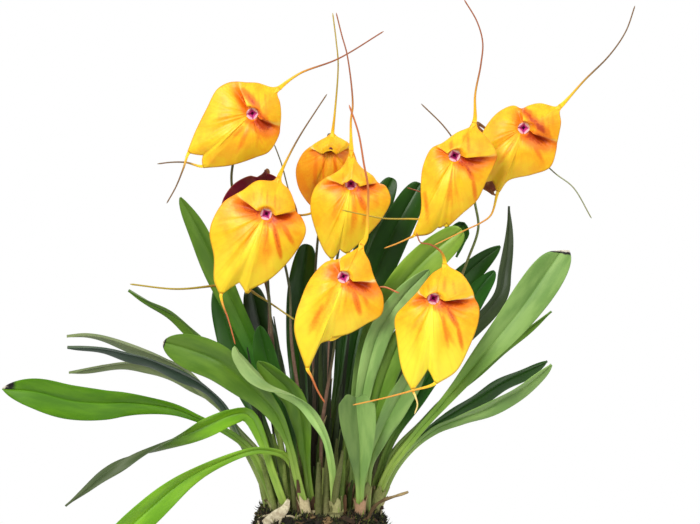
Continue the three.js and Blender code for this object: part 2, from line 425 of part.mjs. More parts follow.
// How far the sepals stand out of the mouth's plane, at a station either side and the share t of the way out: the
// dorsal sepal is a hood, the joined side sepals below bulge between two furrows and curl back.
function sepalDepth(station, t) {
  const rise = clamp01(t / SEPAL.hoodEdge);
  const fall = clamp01((t - SEPAL.hoodEdge) / (1 - SEPAL.hoodEdge));
  const hood = SEPAL.hood * (1 - (1 - rise) ** 2) - SEPAL.hoodBack * fall ** 1.3;
  const below = clamp01((station - HOOD_END[1]) / LOWER_SPAN);
  const offset = (station - SEPAL.furrow.at) / SEPAL.furrow.spread;
  const furrow = SEPAL.furrow.depth * Math.exp(-(offset ** 2)) * Math.sin(Math.PI * t);
  const back = mix(SEPAL.sideBack, SEPAL.lobeBack, below) * t * t;
  const apron = SEPAL.bulge * below * Math.sin(Math.PI * t ** 0.75) - back - furrow;
  return mix(apron, hood, 1 - smooth((station - HOOD_END[0]) / (HOOD_END[1] - HOOD_END[0])));
}

// The point of a bloom's front (sink 0) or back (sink 1) at the share t of the way from the mouth to the rim's
// point x, y, in its own frame.
function sepalPoint([x, y], station, t, sink) {
  const reach = Math.hypot(x, y);
  const size = (share) => mix(CUP.mouthRadius, reach, share);
  const step = 0.02;
  const inner = Math.max(0, t - step);
  const side = Math.abs(station);
  const slope = (sepalDepth(side, t + step) - sepalDepth(side, inner)) / (size(t + step) - size(inner));
  const length = Math.hypot(1, slope);
  const r = size(t) + (sink * SEPAL.thickness * slope) / length;
  return new THREE.Vector3((r * x) / reach, (r * y) / reach, sepalDepth(side, t) - (sink * SEPAL.thickness) / length);
}

function bloomSolid(bloom) {
  const ring = (place) => bloom.rim.map((point, i) => place(point, STATIONS[i]));
  const flat = (r, z) => ring(([x, y]) => new THREE.Vector3(x, y, 0).setLength(r).setZ(z));
  const front = LIMB_RINGS.map((t) => ring((point, station) => sepalPoint(point, station, t, 0)));
  const back = LIMB_RINGS.toReversed().map((t) => ring((point, station) => sepalPoint(point, station, t, 1)));
  const end = -CUP.depth - CUP.wall;
  const limb = closedRings([
    [new THREE.Vector3(0, 0, -CUP.depth)], flat(CUP.floorRadius, -CUP.depth), flat(CUP.mouthRadius, 0),
    ...front, ...back, flat(CUP.mouthRadius + CUP.wall, -CUP.wall), flat(CUP.endRadius + 0.6, end),
    [new THREE.Vector3(0, 0, end)],
  ]);
  const frame = bloomFrame(bloom);
  limb.applyMatrix4(frame);
  const tails = [[0, bloom.top], [-LOBE_STATION, bloom.lobeLeft], [LOBE_STATION, bloom.lobeRight]];
  const tailSolids = tails.map(([at, points]) => {
    const point = bloom.rim[STATIONS.indexOf(at)];
    const inset = (t) => sepalPoint(point, at, t, 0.5).applyMatrix4(frame).toArray();
    const curve = curveThrough([inset(1 - TAIL.rootInset / Math.hypot(...point)), inset(1), ...points]);
    const radiusAt = (s) => mix(TAIL.tipRadius, TAIL.rootRadius, (1 - s) ** TAIL.thinning);
    return rod(curve, radiusAt, TAIL.sides, TAIL.step);
  });
  return filled(union([solidOf(limb), ...tailSolids]));
}

// The column with the small petals and lip: it stands in the cup and shows as a pink ring with a dark middle.
function columnSolid(bloom) {
  const foot = -CUP.depth + TOUCH_GAP;
  const ring = (radius, lobe, z) => Array.from({ length: COLUMN.spokes }, (_, k) => {
    const turn = (2 * Math.PI * k) / COLUMN.spokes;
    const r = radius + lobe * (k % 2 ? -1 : 1);
    return new THREE.Vector3(r * Math.sin(turn), r * Math.cos(turn), z);
  });
  const shape = closedRings([
    [new THREE.Vector3(0, 0, foot)], ring(COLUMN.radius, 0, foot), ring(COLUMN.radius, 0, -3),
    ring(COLUMN.flare, COLUMN.lobe, -0.7), ring(COLUMN.flare * 0.6, 0, -0.5), [new THREE.Vector3(0, 0, -COLUMN.dip)],
  ]);
  return solidOf(shape.applyMatrix4(bloomFrame(bloom)));
}

// A bloom's stem: it ends in the ovary, which meets the back of the cup. With grow it is the hole at its foot.
function stemSolid(bloom, grow = 0) {
  const frame = bloomFrame(bloom);
  const seat = -CUP.depth - CUP.wall - TOUCH_GAP;
  const tip = new THREE.Vector3(0, 0, seat).applyMatrix4(frame).toArray();
  const ovary = new THREE.Vector3(0, -1, seat - STEM.ovaryLength).applyMatrix4(frame).toArray();
  const path = [[...bloom.foot, FOOT_LEVEL], ...bloom.stem.toReversed(), ovary, tip];
  if (grow) {
    const short = curveThrough(path.slice(0, 2));
    return rod(short, () => STEM.radius, STEM.sides, 20, grow);
  }
  const curve = curveThrough(path);
  const share = (1.6 * STEM.ovaryLength) / curve.getLength();
  const radiusAt = (s) => mix(STEM.radius, STEM.ovaryRadius, smooth((s - 1 + share) / share));
  return rod(curve, radiusAt, STEM.sides, STEM.step);
}

// ---- The plant ----
const plant = new THREE.Group();
plant.add(meshOf("pot", potSolid(), clay));

const HOLE_GROW = 0.4;
const leafHoles = LEAVES.flatMap((leaf) => leaf.ribs.map((rib) => leafSolid(leaf, rib, HOLE_GROW)));
const stemHoles = BLOOMS.map((bloom) => stemSolid(bloom, HOLE_GROW));
plant.add(meshOf("growing_medium", mediumSolid([...leafHoles, ...stemHoles]), moss));

for (const leaf of LEAVES)
  plant.add(meshOf(leaf.name, union(leaf.ribs.map((rib) => leafSolid(leaf, rib))), leafGreen));

for (const bloom of BLOOMS) {
  plant.add(meshOf(`stem_${bloom.name}`, stemSolid(bloom), stemBrown));
  plant.add(meshOf(`bloom_${bloom.name}`, bloomSolid(bloom), sepalYellow));
  plant.add(meshOf(`column_${bloom.name}`, columnSolid(bloom), columnPink));
}

export default plant;
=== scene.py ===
"""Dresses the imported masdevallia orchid: its leaves, tailed blooms, scapes, dry sheaths, moss and clay pot.

The tables hold millimetres, like the part's own source, and every mesh is worked out in millimetres in the
part's frame: +Z up, blooms facing -Y, the origin under the middle of the pot. Mesher turns them into metres.
"""

import logging
import math
from dataclasses import dataclass, field
from enum import Enum
from typing import Any, Mapping, Sequence

import bpy
import numpy as np
from mathutils import Matrix, Vector


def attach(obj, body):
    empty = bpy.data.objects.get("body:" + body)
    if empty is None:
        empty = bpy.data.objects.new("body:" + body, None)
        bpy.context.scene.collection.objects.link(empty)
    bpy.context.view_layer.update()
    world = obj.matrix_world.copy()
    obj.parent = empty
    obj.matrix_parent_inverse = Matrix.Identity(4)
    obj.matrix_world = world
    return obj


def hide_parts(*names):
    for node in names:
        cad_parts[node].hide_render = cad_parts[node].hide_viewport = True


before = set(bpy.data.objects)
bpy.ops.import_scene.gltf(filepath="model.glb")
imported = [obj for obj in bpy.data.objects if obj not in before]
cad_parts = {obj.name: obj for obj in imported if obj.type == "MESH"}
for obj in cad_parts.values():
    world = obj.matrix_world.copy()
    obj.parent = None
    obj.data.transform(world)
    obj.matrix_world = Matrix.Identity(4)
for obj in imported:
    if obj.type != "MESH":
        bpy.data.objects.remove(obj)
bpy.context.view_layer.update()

log = logging.getLogger("orchid")

MM = 0.001
Array = np.ndarray
Point = tuple[float, float, float]
Colour = tuple[float, float, float, float]

# ---- Driving dimensions, the same as the solids' ----
FOOT_LEVEL = 76.0
PETIOLE_WIDTH, PETIOLE_THICKNESS, PETIOLE_END = 4.6, 3.1, 0.2
BLADE_THICKNESS, BLADE_RIB, BLADE_FOLD, PETIOLE_FOLD = 0.7, 1.25, 17.0, 12.0
BLADE_WIDEN, BLADE_TAPER, BLADE_TIP = 2.0, 0.35, 1.3
MOUTH_RADIUS, THROAT_RADIUS, CUP_DEPTH, CUP_WALL, CUP_END = 3.2, 2.4, 7.0, 0.8, 2.9
SEPAL_THICKNESS, HOOD_RISE, HOOD_EDGE, HOOD_BACK = 0.8, 5.0, 0.18, 8.0
APRON_BULGE, SIDE_BACK, LOBE_BACK, FURROW = 5.0, 4.5, 2.5, 1.1
HOOD_END = (80.0, 96.0)
TAIL_ROOT, TAIL_TIP, TAIL_INSET, TAIL_THINNING = 1.2, 0.45, 5.0, 2.4
STEM_RADIUS, OVARY_RADIUS, OVARY_LENGTH, TOUCH_GAP = 1.05, 1.75, 8.0, 0.3
STATIONS = (0, 10, 42, 76, 88, 100, 121, 142, 160, 171, 176, 180,
            -176, -171, -160, -142, -121, -100, -88, -76, -42, -10)


class Green(Enum):
    """How green a leaf is: the colour of its upper face at the middle of the blade, as sRGB bytes."""

    BRIGHT = (80, 130, 4)
    LIME = (116, 162, 28)
    FRESH = (112, 164, 26)
    GRASS = (118, 156, 58)
    MID = (88, 124, 34)
    SPRING = (128, 162, 56)
    SAGE = (124, 158, 86)
    PALE = (148, 182, 108)
    GREYED = (118, 134, 84)
    TEAL = (58, 80, 66)
    LEAFY = (40, 98, 14)
    DARK = (34, 78, 4)
    DEEP = (22, 50, 4)
    DULL = (64, 80, 46)


class TailTone(Enum):
    """What colour a sepal's tail turns to at its end, as sRGB bytes."""

    SALMON = (184, 104, 58)
    AMBER = (216, 150, 60)
    RUST = (150, 84, 44)
    BROWN = (112, 84, 44)
    OLIVE = (168, 146, 44)
    SAGE = (132, 138, 100)
    CREAM = (238, 206, 130)


@dataclass(frozen=True)
class Bloom:
    """One bloom as the solids have it.

    Attributes:
        name: the bloom's name in its nodes.
        mouth: the middle of its mouth.
        nod: how far its face tips down, in degrees.
        foot: the foot of its scape.
        rim: its rim's points from the mouth, one for each station, to its right and up.
        top, lobe_left, lobe_right: the points of its three tails.
        stem: its scape's points from the ovary down.
        away: whether it faces +Y.
    """

    name: str
    mouth: Point
    nod: float
    foot: tuple[float, float]
    rim: tuple[tuple[float, float], ...]
    top: tuple[Point, ...]
    lobe_left: tuple[Point, ...]
    lobe_right: tuple[Point, ...]
    stem: tuple[Point, ...]
    away: bool = False


@dataclass(frozen=True)
class LeafGroup:
    """The leaves of one node.

    Attributes:
        name: the node.
        foot: where they leave the moss.
        width: the widest that a blade gets.
        rolls: how far the face tips up from -Y at the foot, half way and at the tip, in degrees.
        ribs: each leaf's midrib, point by point.
        widen: how late the blade widens.
        taper: how pointed its tip is.
        notch: how deep its tip is notched at the midrib.
        tip: how wide its tip ends.
    """

    name: str
    foot: tuple[float, float]
    width: float
    rolls: tuple[float, float, float]
    ribs: tuple[tuple[Point, ...], ...]
    widen: float = BLADE_WIDEN
    taper: float = BLADE_TAPER
    notch: float = 0.0
    tip: float = BLADE_TIP


BLOOMS: tuple[Bloom, ...] = (
    Bloom(
        "upper_left", mouth=(-37, 0, 302), nod=4, foot=(-14, 14),
        rim=((15, 14), (13.8, 10.8), (15.2, 6), (15.8, -1), (15.2, -7.8), (14.6, -12), (9, -21.3),
             (2, -24.3), (-12, -28.8), (-27.5, -29.3), (-28, -26), (-27.5, -23.2), (-31, -22.8),
             (-35, -21.5), (-31.5, -10), (-25.5, 2), (-19.5, 13), (-14, 16.5), (-8.5, 17.4), (-3.5, 17.1),
             (3, 16.8), (11, 14.4)),
        top=((-11, 2, 324), (10, 4, 332), (35, 8, 347)),
        lobe_left=((-75, 2, 272), (-79, 0, 262), (-84, -2, 253)),
        lobe_right=((-74, 8, 275), (-82, 10, 275), (-90, 12, 274)),
        stem=((-41, 20, 291), (-47, 28, 280), (-50, 32, 266), (-48, 36, 250), (-39, 38, 224), (-30, 34, 202),
              (-28, 28, 163), (-20, 20, 128)),
    ),
    Bloom(
        "left", mouth=(-29, -15, 248), nod=3, foot=(-7, -3),
        rim=((7.2, 20.5), (8.6, 17), (12.5, 13), (15.6, 5), (16.3, 1), (19.3, -2.5), (21.5, -10),
             (15, -22.5), (2, -36), (-10.8, -43.3), (-13, -41), (-15, -38), (-19, -40.5), (-25, -44),
             (-28.8, -37), (-28.8, -24), (-31, -9), (-24, 5.5), (-17.3, 10.2), (-12.5, 13), (-5, 18),
             (4, 18.2)),
        top=((-18, -16, 277), (-11, -15, 290), (-2, -13, 304), (4, -11, 313)),
        lobe_left=((-53, -14, 199), (-50, -15, 191), (-46, -17, 177)),
        lobe_right=((-38, -6, 206), (-36, 2, 211), (-35, 6, 220)),
        stem=((-25, 6, 237), (-21, 10, 224), (-17, 10, 204), (-16, 6, 177), (-11, 2, 138)),
    ),
    Bloom(
        "back_centre", mouth=(5, 14, 283), nod=26, foot=(-3, 12),
        rim=((1.8, 7.2), (4, 5.8), (8, 3.2), (10.5, 1.5), (12, -1.5), (14, -6), (16, -14), (16, -25),
             (12, -35), (7, -42), (3, -39.5), (0, -37), (-3, -39.5), (-7, -42), (-12, -37), (-17.3, -27.5),
             (-18.7, -16), (-15.5, -7.2), (-11.2, -2), (-8, 1), (-5, 3.2), (-0.5, 6)),
        top=((8, 10, 301), (10, 8, 329), (9, 8, 341), (7, 9, 357)),
        lobe_left=((-14, 30, 245), (-18, 34, 258), (-22, 34, 273), (-26, 33, 284)),
        lobe_right=((14, 20, 231), (18, 24, 219), (20, 28, 208)),
        stem=((4, 34, 267), (1, 38, 250), (-2, 40, 227), (-4, 40, 190), (-4, 34, 151), (-3, 26, 123)),
    ),
    Bloom(
        "centre", mouth=(17, -10, 264), nod=6, foot=(5, 2),
        rim=((0.2, 18.5), (1.6, 15.5), (5.5, 9.2), (12, 4.2), (15, 0.2), (19, -1.8), (21.8, -9), (18, -18),
             (9, -29), (-2, -38.5), (-4.5, -38), (-6.2, -36.5), (-7.5, -39), (-10.5, -41.5), (-14.5, -38),
             (-19.5, -26), (-22.3, -13), (-20, -3), (-14.5, 2.6), (-9, 5.6), (-5, 8.8), (-1.6, 15)),
        top=((17, -10, 299), (18, -10, 307), (15, -8, 334), (12, -7, 345), (9, -6, 357)),
        lobe_left=((9, -4, 215), (10, 0, 205), (12, 3, 196)),
        lobe_right=((18, -2, 221), (23, 2, 214), (31, 6, 210)),
        stem=((15, 12, 251), (11, 18, 231), (7, 20, 203), (5, 16, 170), (5, 8, 132)),
    ),
    Bloom(
        "lower_centre", mouth=(13, -40, 216), nod=4, foot=(1, -8),
        rim=((10, 17.5), (11.2, 13.5), (14, 8), (16, 1), (18, -3.8), (21.3, -11), (20.5, -21), (12, -26.3),
             (3, -31.3), (-7, -34.3), (-11, -36), (-12.5, -37), (-15.5, -43.5), (-19.5, -50), (-26.6, -28),
             (-22.3, -11), (-17.5, -1), (-9.5, 7.5), (-2.6, 9.3), (0, 11.1), (4, 13.3), (8.2, 16)),
        top=((25, -40, 237), (26, -41, 251), (26, -42, 265), (24, -42, 276), (21, -42, 293), (16, -41, 308)),
        lobe_left=((-4, -40, 162), (-1, -40, 155), (3, -39, 148)),
        lobe_right=((14, -31, 186), (24, -31, 202), (33, -33, 210), (43, -36, 207)),
        stem=((12, -22, 204), (9, -18, 191), (8, -17, 177), (3, -15, 145), (1, -13, 129)),
    ),
    Bloom(
        "lower_right", mouth=(61, -45, 205), nod=3, foot=(20, -2),
        rim=((6, 18.5), (8.5, 16.8), (15.5, 12.5), (21, 4), (22.3, -0.5), (24.5, -5), (24.3, -13), (19, -28),
             (12.5, -40), (1.5, -46.2), (-1, -42), (-2.8, -38.8), (-6, -44), (-10.8, -49.5), (-16.5, -40),
             (-19.3, -24), (-20.3, -10.5), (-14.5, -3.5), (-9, 2.5), (-6.5, 6), (-0.5, 13.2), (4.8, 16.8)),
        top=((65, -46, 230), (59, -46, 234), (54, -45, 235), (52, -42, 240)),
        lobe_left=((51.6, -46, 152), (52.6, -46, 148), (51, -46, 143)),
        lobe_right=((49, -43, 155), (32, -46, 151), (18, -47, 148)),
        stem=((60, -27, 196), (56, -14, 176), (48, -4, 153), (40, 0, 133), (30, 2, 113)),
    ),
    Bloom(
        "upper_right", mouth=(73, -20, 280), nod=3, foot=(19, 12),
        rim=((10.7, 18), (12.8, 14.5), (16.5, 10.8), (22, 3.5), (23.3, -0.8), (22, -5), (17.5, -14.5),
             (12.5, -24.7), (4.5, -32), (-3.5, -38), (-7.3, -39.7), (-8.8, -39.6), (-13.5, -43.2),
             (-21.5, -43.5), (-18, -30), (-18.2, -17), (-17, -6), (-13, 3), (-10, 5.2), (-6.5, 6.8),
             (1, 12.2), (9, 16)),
        top=((84, -20, 313), (87, -19, 329), (88, -18, 341), (85, -17, 352), (78, -16, 364)),
        lobe_left=((47, -24, 235), (41, -26, 232.5), (35, -28, 230.5)),
        lobe_right=((55, -14, 245), (35, -20, 246), (25, -23, 248), (12, -26, 251)),
        stem=((73, -2, 270), (72, 4, 255), (70, 8, 237), (63, 10, 216), (53, 10, 187), (40, 8, 154),
              (29, 6, 121)),
    ),
    Bloom(
        "far_right", mouth=(112, 5, 294), nod=3, foot=(19, 20),
        rim=((20.5, 12), (20, 8.8), (20.7, 3), (19.6, -4), (18.8, -8.4), (18.4, -12.5), (15, -22), (5, -26),
             (-8, -29.3), (-13.8, -35.3), (-15.6, -32), (-17, -29.5), (-22, -30.5), (-27, -31), (-27, -17),
             (-22, -1.5), (-14, 8.5), (-5.5, 12.2), (-1, 10.6), (2.5, 12.2), (9, 13.6), (18, 11.7)),
        top=((145, 6, 320), (159, 7, 334), (168, 9, 347), (173, 10, 361)),
        lobe_left=((77, 14, 282), (69, 18, 294), (56, 20, 307)),
        lobe_right=((94, -2, 247), (88, -10, 243), (80, -18, 240), (62, -26, 232)),
        stem=((105, 24, 282), (92, 25, 270), (86, 22, 257), (88, 20, 238), (82, 23, 219), (72, 26, 192),
              (56, 20, 156), (34, 18, 120)),
    ),
    Bloom(
        "back_left", mouth=(-31, 26, 252), nod=0, foot=(-12, 3), away=True,
        rim=((-1, 17.5), (1.5, 16), (3, 15), (4.2, 14.3), (5.5, 14.5), (8, 15), (17, 10.5), (24, 0),
             (24, -18), (17, -45), (15.5, -43), (14.5, -41), (13.5, -43), (12, -45), (-8, -34), (-18, -18),
             (-18, -4), (-14, 5), (-11, 9), (-9.5, 11), (-6, 14.5), (-2.8, 16)),
        top=((-29, 32, 268), (-30, 36, 265), (-31, 39, 260)),
        lobe_left=((-37, 16, 202), (-28, 10, 197), (-14, 4, 188)),
        lobe_right=((-61, 13, 206), (-80, 7, 205), (-105, 4, 208)),
        stem=((-33, 7, 240), (-30, 2, 227), (-28, 1, 199), (-25, 3, 166), (-16, 5, 126)),
    ),
    Bloom(
        "back_right", mouth=(90, 36, 276), nod=20, foot=(13, 15), away=True,
        rim=((2, 19.5), (4.5, 16), (10, 11), (13, 4), (14, 1), (15.5, -3), (16.5, -9), (14, -15), (9, -20),
             (3.5, -22), (1, -20.5), (-1, -19), (-3.5, -20.5), (-6.5, -21.5), (-10.5, -18), (-14, -12),
             (-15.5, -5), (-14.5, -1), (-13, 2), (-12, 5), (-8, 11.5), (-1, 16)),
        top=((94, 45, 292), (107, 38, 286), (121, 26, 277), (131, 16, 268), (140, 12, 261), (150, 9, 244)),
        lobe_left=((99, 32, 256), (102, 36, 262), (103, 39, 270)),
        lobe_right=((72, 17, 253), (60, 13, 257), (48, 10, 261)),
        stem=((85, 17, 266), (78, 13, 253), (70, 14, 239), (62, 16, 215), (53, 16, 180), (40, 16, 140),
              (26, 17, 112)),
    ),
)

LEAVES: tuple[LeafGroup, ...] = (
    LeafGroup("leaf_far_left", (-22, -8), 20.5, (0, 10, 5), widen=2.6, taper=0.75, ribs=(
        ((-30, -10, 101), (-39, -12, 119), (-51, -16, 129), (-65, -19, 136), (-79, -21, 142),
         (-95, -24, 145), (-106, -26, 146), (-117, -28, 146), (-135, -31, 148), (-153, -33, 153),
         (-171, -34, 155)),
    )),
    LeafGroup("leaf_twisted", (-15, -15), 13, (15, 30, 180), widen=0.85, taper=1, ribs=(
        ((-26, -20, 108), (-31, -22, 125), (-39, -26, 140), (-48, -30, 140), (-61, -35, 135),
         (-71, -39, 131), (-88, -44, 125), (-101, -48, 120), (-115, -51, 111), (-125, -54, 103),
         (-135, -56, 95)),
    )),
    LeafGroup("leaf_low_left", (-9, -17), 18, (10, 20, 20), taper=0.5, ribs=(
        ((-13, -19, 106), (-18, -22, 116), (-26, -27, 120), (-36, -31, 121), (-53, -37, 116),
         (-72, -44, 107), (-90, -51, 93), (-107, -57, 77), (-118, -62, 59)),
    )),
    LeafGroup("leaf_left_broad", (-17, -2), 17, (30, 55, 75), widen=1.6, taper=0.8, ribs=(
        ((-24, -1, 101), (-45, 4, 121), (-52, 7, 137), (-64, 9, 149), (-75, 10, 159), (-86, 11, 165),
         (-97, 11, 170), (-111, 12, 175), (-122, 12, 178), (-131, 12, 179), (-141, 12, 178)),
    )),
    LeafGroup("leaf_left_pair", (-24, 5), 13, (30, 50, 65), widen=1.6, taper=0.8, ribs=(
        ((-34, -2, 103), (-45, -4, 125), (-53, -10, 143), (-64, -14, 154), (-74, -16, 160), (-84, -18, 165),
         (-93, -19, 169), (-104, -20, 172), (-117, -21, 175), (-128, -22, 176), (-137, -22, 176)),
        ((-30, 12, 106), (-46, 18, 125), (-62, 24, 143), (-74, 28, 150), (-85, 31, 155), (-97, 33, 159),
         (-109, 36, 160), (-123, 38, 158), (-143, 39, 154)),
    )),
    LeafGroup("leaf_mid_left", (-5, -22), 22, (10, 15, 10), widen=1.7, taper=0.5, ribs=(
        ((-12, -24, 104), (-16, -28, 122), (-23, -33, 140), (-36, -38, 156), (-54, -43, 171),
         (-70, -46, 178), (-83, -48, 182)),
    )),
    LeafGroup("leaf_thin_left", (-19, 9), 11, (40, 50, 50), widen=1.3, taper=0.85, ribs=(
        ((-21, 12, 113), (-29, 20, 136), (-46, 26, 153), (-65, 32, 171), (-82, 37, 186), (-97, 39, 194),
         (-109, 41, 201)),
    )),
    LeafGroup("leaf_upright_left", (-13, 20), 16, (15, 20, 30), widen=1.5, taper=0.6, ribs=(
        ((-16, 24, 113), (-28, 29, 145), (-41, 32, 176), (-54, 34, 204), (-67, 36, 232), (-79, 38, 254)),
    )),
    LeafGroup("leaf_dark_left", (-20, 17), 17, (20, 20, 10), widen=1.2, taper=0.6, ribs=(
        ((-27, 26, 112), (-40, 36, 142), (-49, 42, 168), (-55, 46, 191), (-56, 50, 211)),
    )),
    LeafGroup("leaf_centre_back", (-5, 21), 17, (0, 5, 0), widen=0.9, ribs=(
        ((-8, 28, 112), (-11, 40, 144), (-12, 48, 173), (-11, 52, 201), (-8, 56, 226)),
        ((-3, 31, 112), (-2, 42, 146), (0, 50, 180), (3, 55, 212)),
        ((-14, 31, 112), (-25, 44, 146), (-34, 52, 176), (-40, 57, 202)),
    )),
    LeafGroup("leaf_centre_left", (-11, -9), 15, (20, 25, 20), widen=1.2, taper=0.5, ribs=(
        ((-14, -8, 116), (-22, -6, 147), (-29, -6, 168), (-33, -6, 186)),
    )),
    LeafGroup("leaf_curled", (9, -22), 11, (20, 25, 155), widen=1.2, ribs=(
        ((8, -25, 97), (7, -28, 111), (4, -31, 126), (-1, -35, 137), (-7, -39, 146), (-14, -42, 152),
         (-20, -45, 155), (-26, -47, 158), (-33, -50, 164), (-39, -52, 171), (-43, -53, 176),
         (-45, -51, 180)),
    )),
    LeafGroup("leaf_behind_curled", (-3, -14), 14, (10, 15, 20), widen=1.2, taper=0.5, ribs=(
        ((-7, -17, 108), (-9, -20, 130), (-12, -24, 145), (-18, -28, 155), (-26, -32, 163), (-33, -35, 170)),
    )),
    LeafGroup("leaf_notched", (22, -17), 20, (0, 0, 0), widen=1.2, taper=0.3, notch=4.5, tip=15, ribs=(
        ((22, -22, 104), (22, -26, 121), (21, -29, 135), (20, -32, 148), (20, -34, 154)),
    )),
    LeafGroup("leaf_long_pale", (14, 5), 20, (20, 15, 10), widen=1.2, ribs=(
        ((16, -1, 113), (20, -5, 145), (27, -9, 176), (41, -13, 204), (58, -16, 224), (77, -18, 240)),
    )),
    LeafGroup("leaf_sage_pair", (16, -8), 14, (10, 12, 15), widen=1.2, taper=0.5, ribs=(
        ((19, -12, 115), (22, -16, 141), (26, -20, 163), (33, -24, 186), (45, -27, 204), (59, -29, 219)),
        ((24, -10, 115), (30, -13, 138), (36, -16, 160), (44, -19, 180), (53, -21, 195)),
    )),
    LeafGroup("leaf_low_right", (25, -10), 15, (10, 15, 20), widen=1.2, taper=0.5, ribs=(
        ((27, -17, 111), (33, -22, 128), (41, -27, 145), (49, -32, 160), (55, -34, 175)),
    )),
    LeafGroup("leaf_big_right", (28, -4), 21.5, (5, 5, 5), taper=0.38, tip=7, ribs=(
        ((36, -9, 103), (50, -15, 124), (68, -20, 146), (87, -24, 170), (108.5, -27, 197),
         (130.5, -29, 229.5)),
    )),
    LeafGroup("leaf_right_pair", (29, 4), 12, (30, 33, 40), widen=1.7, taper=0.65, ribs=(
        ((42, 0, 107), (63, -4, 128), (77, -10, 135), (90, -17, 141), (101, -22, 148), (111, -28, 155),
         (119, -31, 162), (125, -33, 168)),
        ((42, 10, 109), (61, 10, 127), (75, 10, 136), (89, 8, 145), (102, 4, 154), (116, 0, 161),
         (125, -4, 166)),
    )),
    LeafGroup("leaf_dark_upright", (22, 17), 13, (40, 36, 40), widen=1.2, taper=0.9, ribs=(
        ((36, 22, 113), (56, 32, 145), (79, 39, 173), (101, 45, 198), (104, 48, 211), (106, 50, 226),
         (107, 52, 248)),
    )),
    LeafGroup("leaf_dark_broad", (13, 23), 19, (30, 30, 20), widen=1.3, taper=0.65, ribs=(
        ((25, 34, 117), (42, 46, 150), (59, 55, 180), (77, 61, 202), (91, 65, 215), (103, 67, 224)),
    )),
    LeafGroup("leaf_mid_right", (24, 7), 16.5, (20, 20, 25), widen=1.2, taper=0.5, ribs=(
        ((39, 12, 118), (55, 14, 146), (69, 14, 171), (81, 16, 193), (89, 18, 205), (97, 20, 214)),
    )),
    LeafGroup("leaf_tall_centre", (8, 10), 20, (10, 15, 15), widen=1.2, ribs=(
        ((11, 14, 114), (14, 20, 141), (19, 26, 169), (27, 31, 200), (40, 35, 233), (56, 38, 262)),
    )),
    LeafGroup("leaf_tall_behind", (4, 26), 16, (0, 0, 0), widen=1.2, ribs=(
        ((5, 36, 116), (10, 48, 149), (16, 58, 189), (27, 65, 225), (34, 69, 248), (41, 71, 263)),
    )),
    LeafGroup("leaf_hooked", (9, 18), 10, (30, 40, 40), taper=0.9, ribs=(
        ((14, 27, 115), (23, 36, 148), (38, 43, 181), (56, 47, 211), (71, 49, 231), (80, 51, 238),
         (83, 51, 233), (81, 51, 228), (79, 50, 223), (77, 50, 219)),
    )),
    LeafGroup("leaf_right_tip", (28, 13), 7.5, (20, 30, 40), widen=1.4, taper=0.8, ribs=(
        ((40, 20, 110), (59, 24, 130), (79, 27, 149), (104, 29, 170), (130, 30, 190)),
    )),
    LeafGroup("leaf_rear_group", (3, 31), 18, (0, 0, 0), taper=0.6, ribs=(
        ((-12, 38, 99), (-21, 58, 124), (-35, 80, 151), (-48, 98, 166), (-58, 116, 170)),
        ((18, 40, 101), (29, 60, 130), (44, 80, 154), (61, 98, 169), (73, 116, 174)),
        ((3, 46, 103), (1, 64, 135), (-1, 82, 165), (-3, 100, 183), (-4, 120, 190)),
    )),
)


@dataclass(frozen=True)
class LeafLook:
    """How one leaf node is coloured.

    Attributes:
        tones: the tone of each of its leaves, the last one standing for any more.
        far: what tone the outer half turns to, or None if it stays.
        dead: how much of the tip has died back, as a share of the leaf.
        under: how pale the underside is.
        curl: how much further its tip folds up, in degrees.
        midline: how much lighter, or if under 0 darker, the line over the midrib is.
        shade: how much darker the half left of the midrib is painted, as painted shade on that half of the
            fold; below 0 it is painted lighter.
        skew: how much further its right half runs at the tip than its left, in millimetres.
        spared: how far the half left of the midrib is spared from dying back, from 0 to 1.
    """

    tones: tuple[Green, ...]
    far: Green | None = None
    dead: float = 0.0
    under: float = 0.35
    curl: float = 0.0
    midline: float = 0.0
    shade: float = 0.0
    skew: float = 0.0
    spared: float = 0.0


LEAF_LOOKS: Mapping[str, LeafLook] = {
    "leaf_far_left": LeafLook((Green.BRIGHT,), dead=0.034, midline=0.2, shade=0.1, spared=0.8),
    "leaf_twisted": LeafLook((Green.FRESH,), far=Green.DULL, under=0.6, shade=-0.18),
    "leaf_low_left": LeafLook((Green.LIME,), far=Green.FRESH),
    "leaf_left_broad": LeafLook((Green.GREYED,)),
    "leaf_left_pair": LeafLook((Green.TEAL, Green.GREYED)),
    "leaf_mid_left": LeafLook((Green.MID,), dead=0.008),
    "leaf_thin_left": LeafLook((Green.MID,)),
    "leaf_upright_left": LeafLook((Green.LEAFY,), far=Green.MID),
    "leaf_dark_left": LeafLook((Green.DARK,)),
    "leaf_centre_back": LeafLook((Green.DARK, Green.DEEP, Green.DEEP)),
    "leaf_centre_left": LeafLook((Green.DARK,)),
    "leaf_curled": LeafLook((Green.PALE,), curl=34.0, shade=-0.2),
    "leaf_behind_curled": LeafLook((Green.MID,)),
    "leaf_notched": LeafLook((Green.SAGE,), shade=0.42),
    "leaf_long_pale": LeafLook((Green.SAGE,), far=Green.SPRING),
    "leaf_sage_pair": LeafLook((Green.PALE, Green.GRASS)),
    "leaf_low_right": LeafLook((Green.SAGE,)),
    "leaf_big_right": LeafLook((Green.GRASS,), far=Green.SAGE, dead=0.01, skew=2.4),
    "leaf_right_pair": LeafLook((Green.SAGE, Green.DARK)),
    "leaf_dark_upright": LeafLook((Green.DULL,)),
    "leaf_dark_broad": LeafLook((Green.DARK,)),
    "leaf_mid_right": LeafLook((Green.LEAFY,)),
    "leaf_tall_centre": LeafLook((Green.DARK,)),
    "leaf_tall_behind": LeafLook((Green.DARK,)),
    "leaf_hooked": LeafLook((Green.DARK,)),
    "leaf_right_tip": LeafLook((Green.MID,)),
    "leaf_rear_group": LeafLook((Green.MID, Green.DARK, Green.MID)),
}

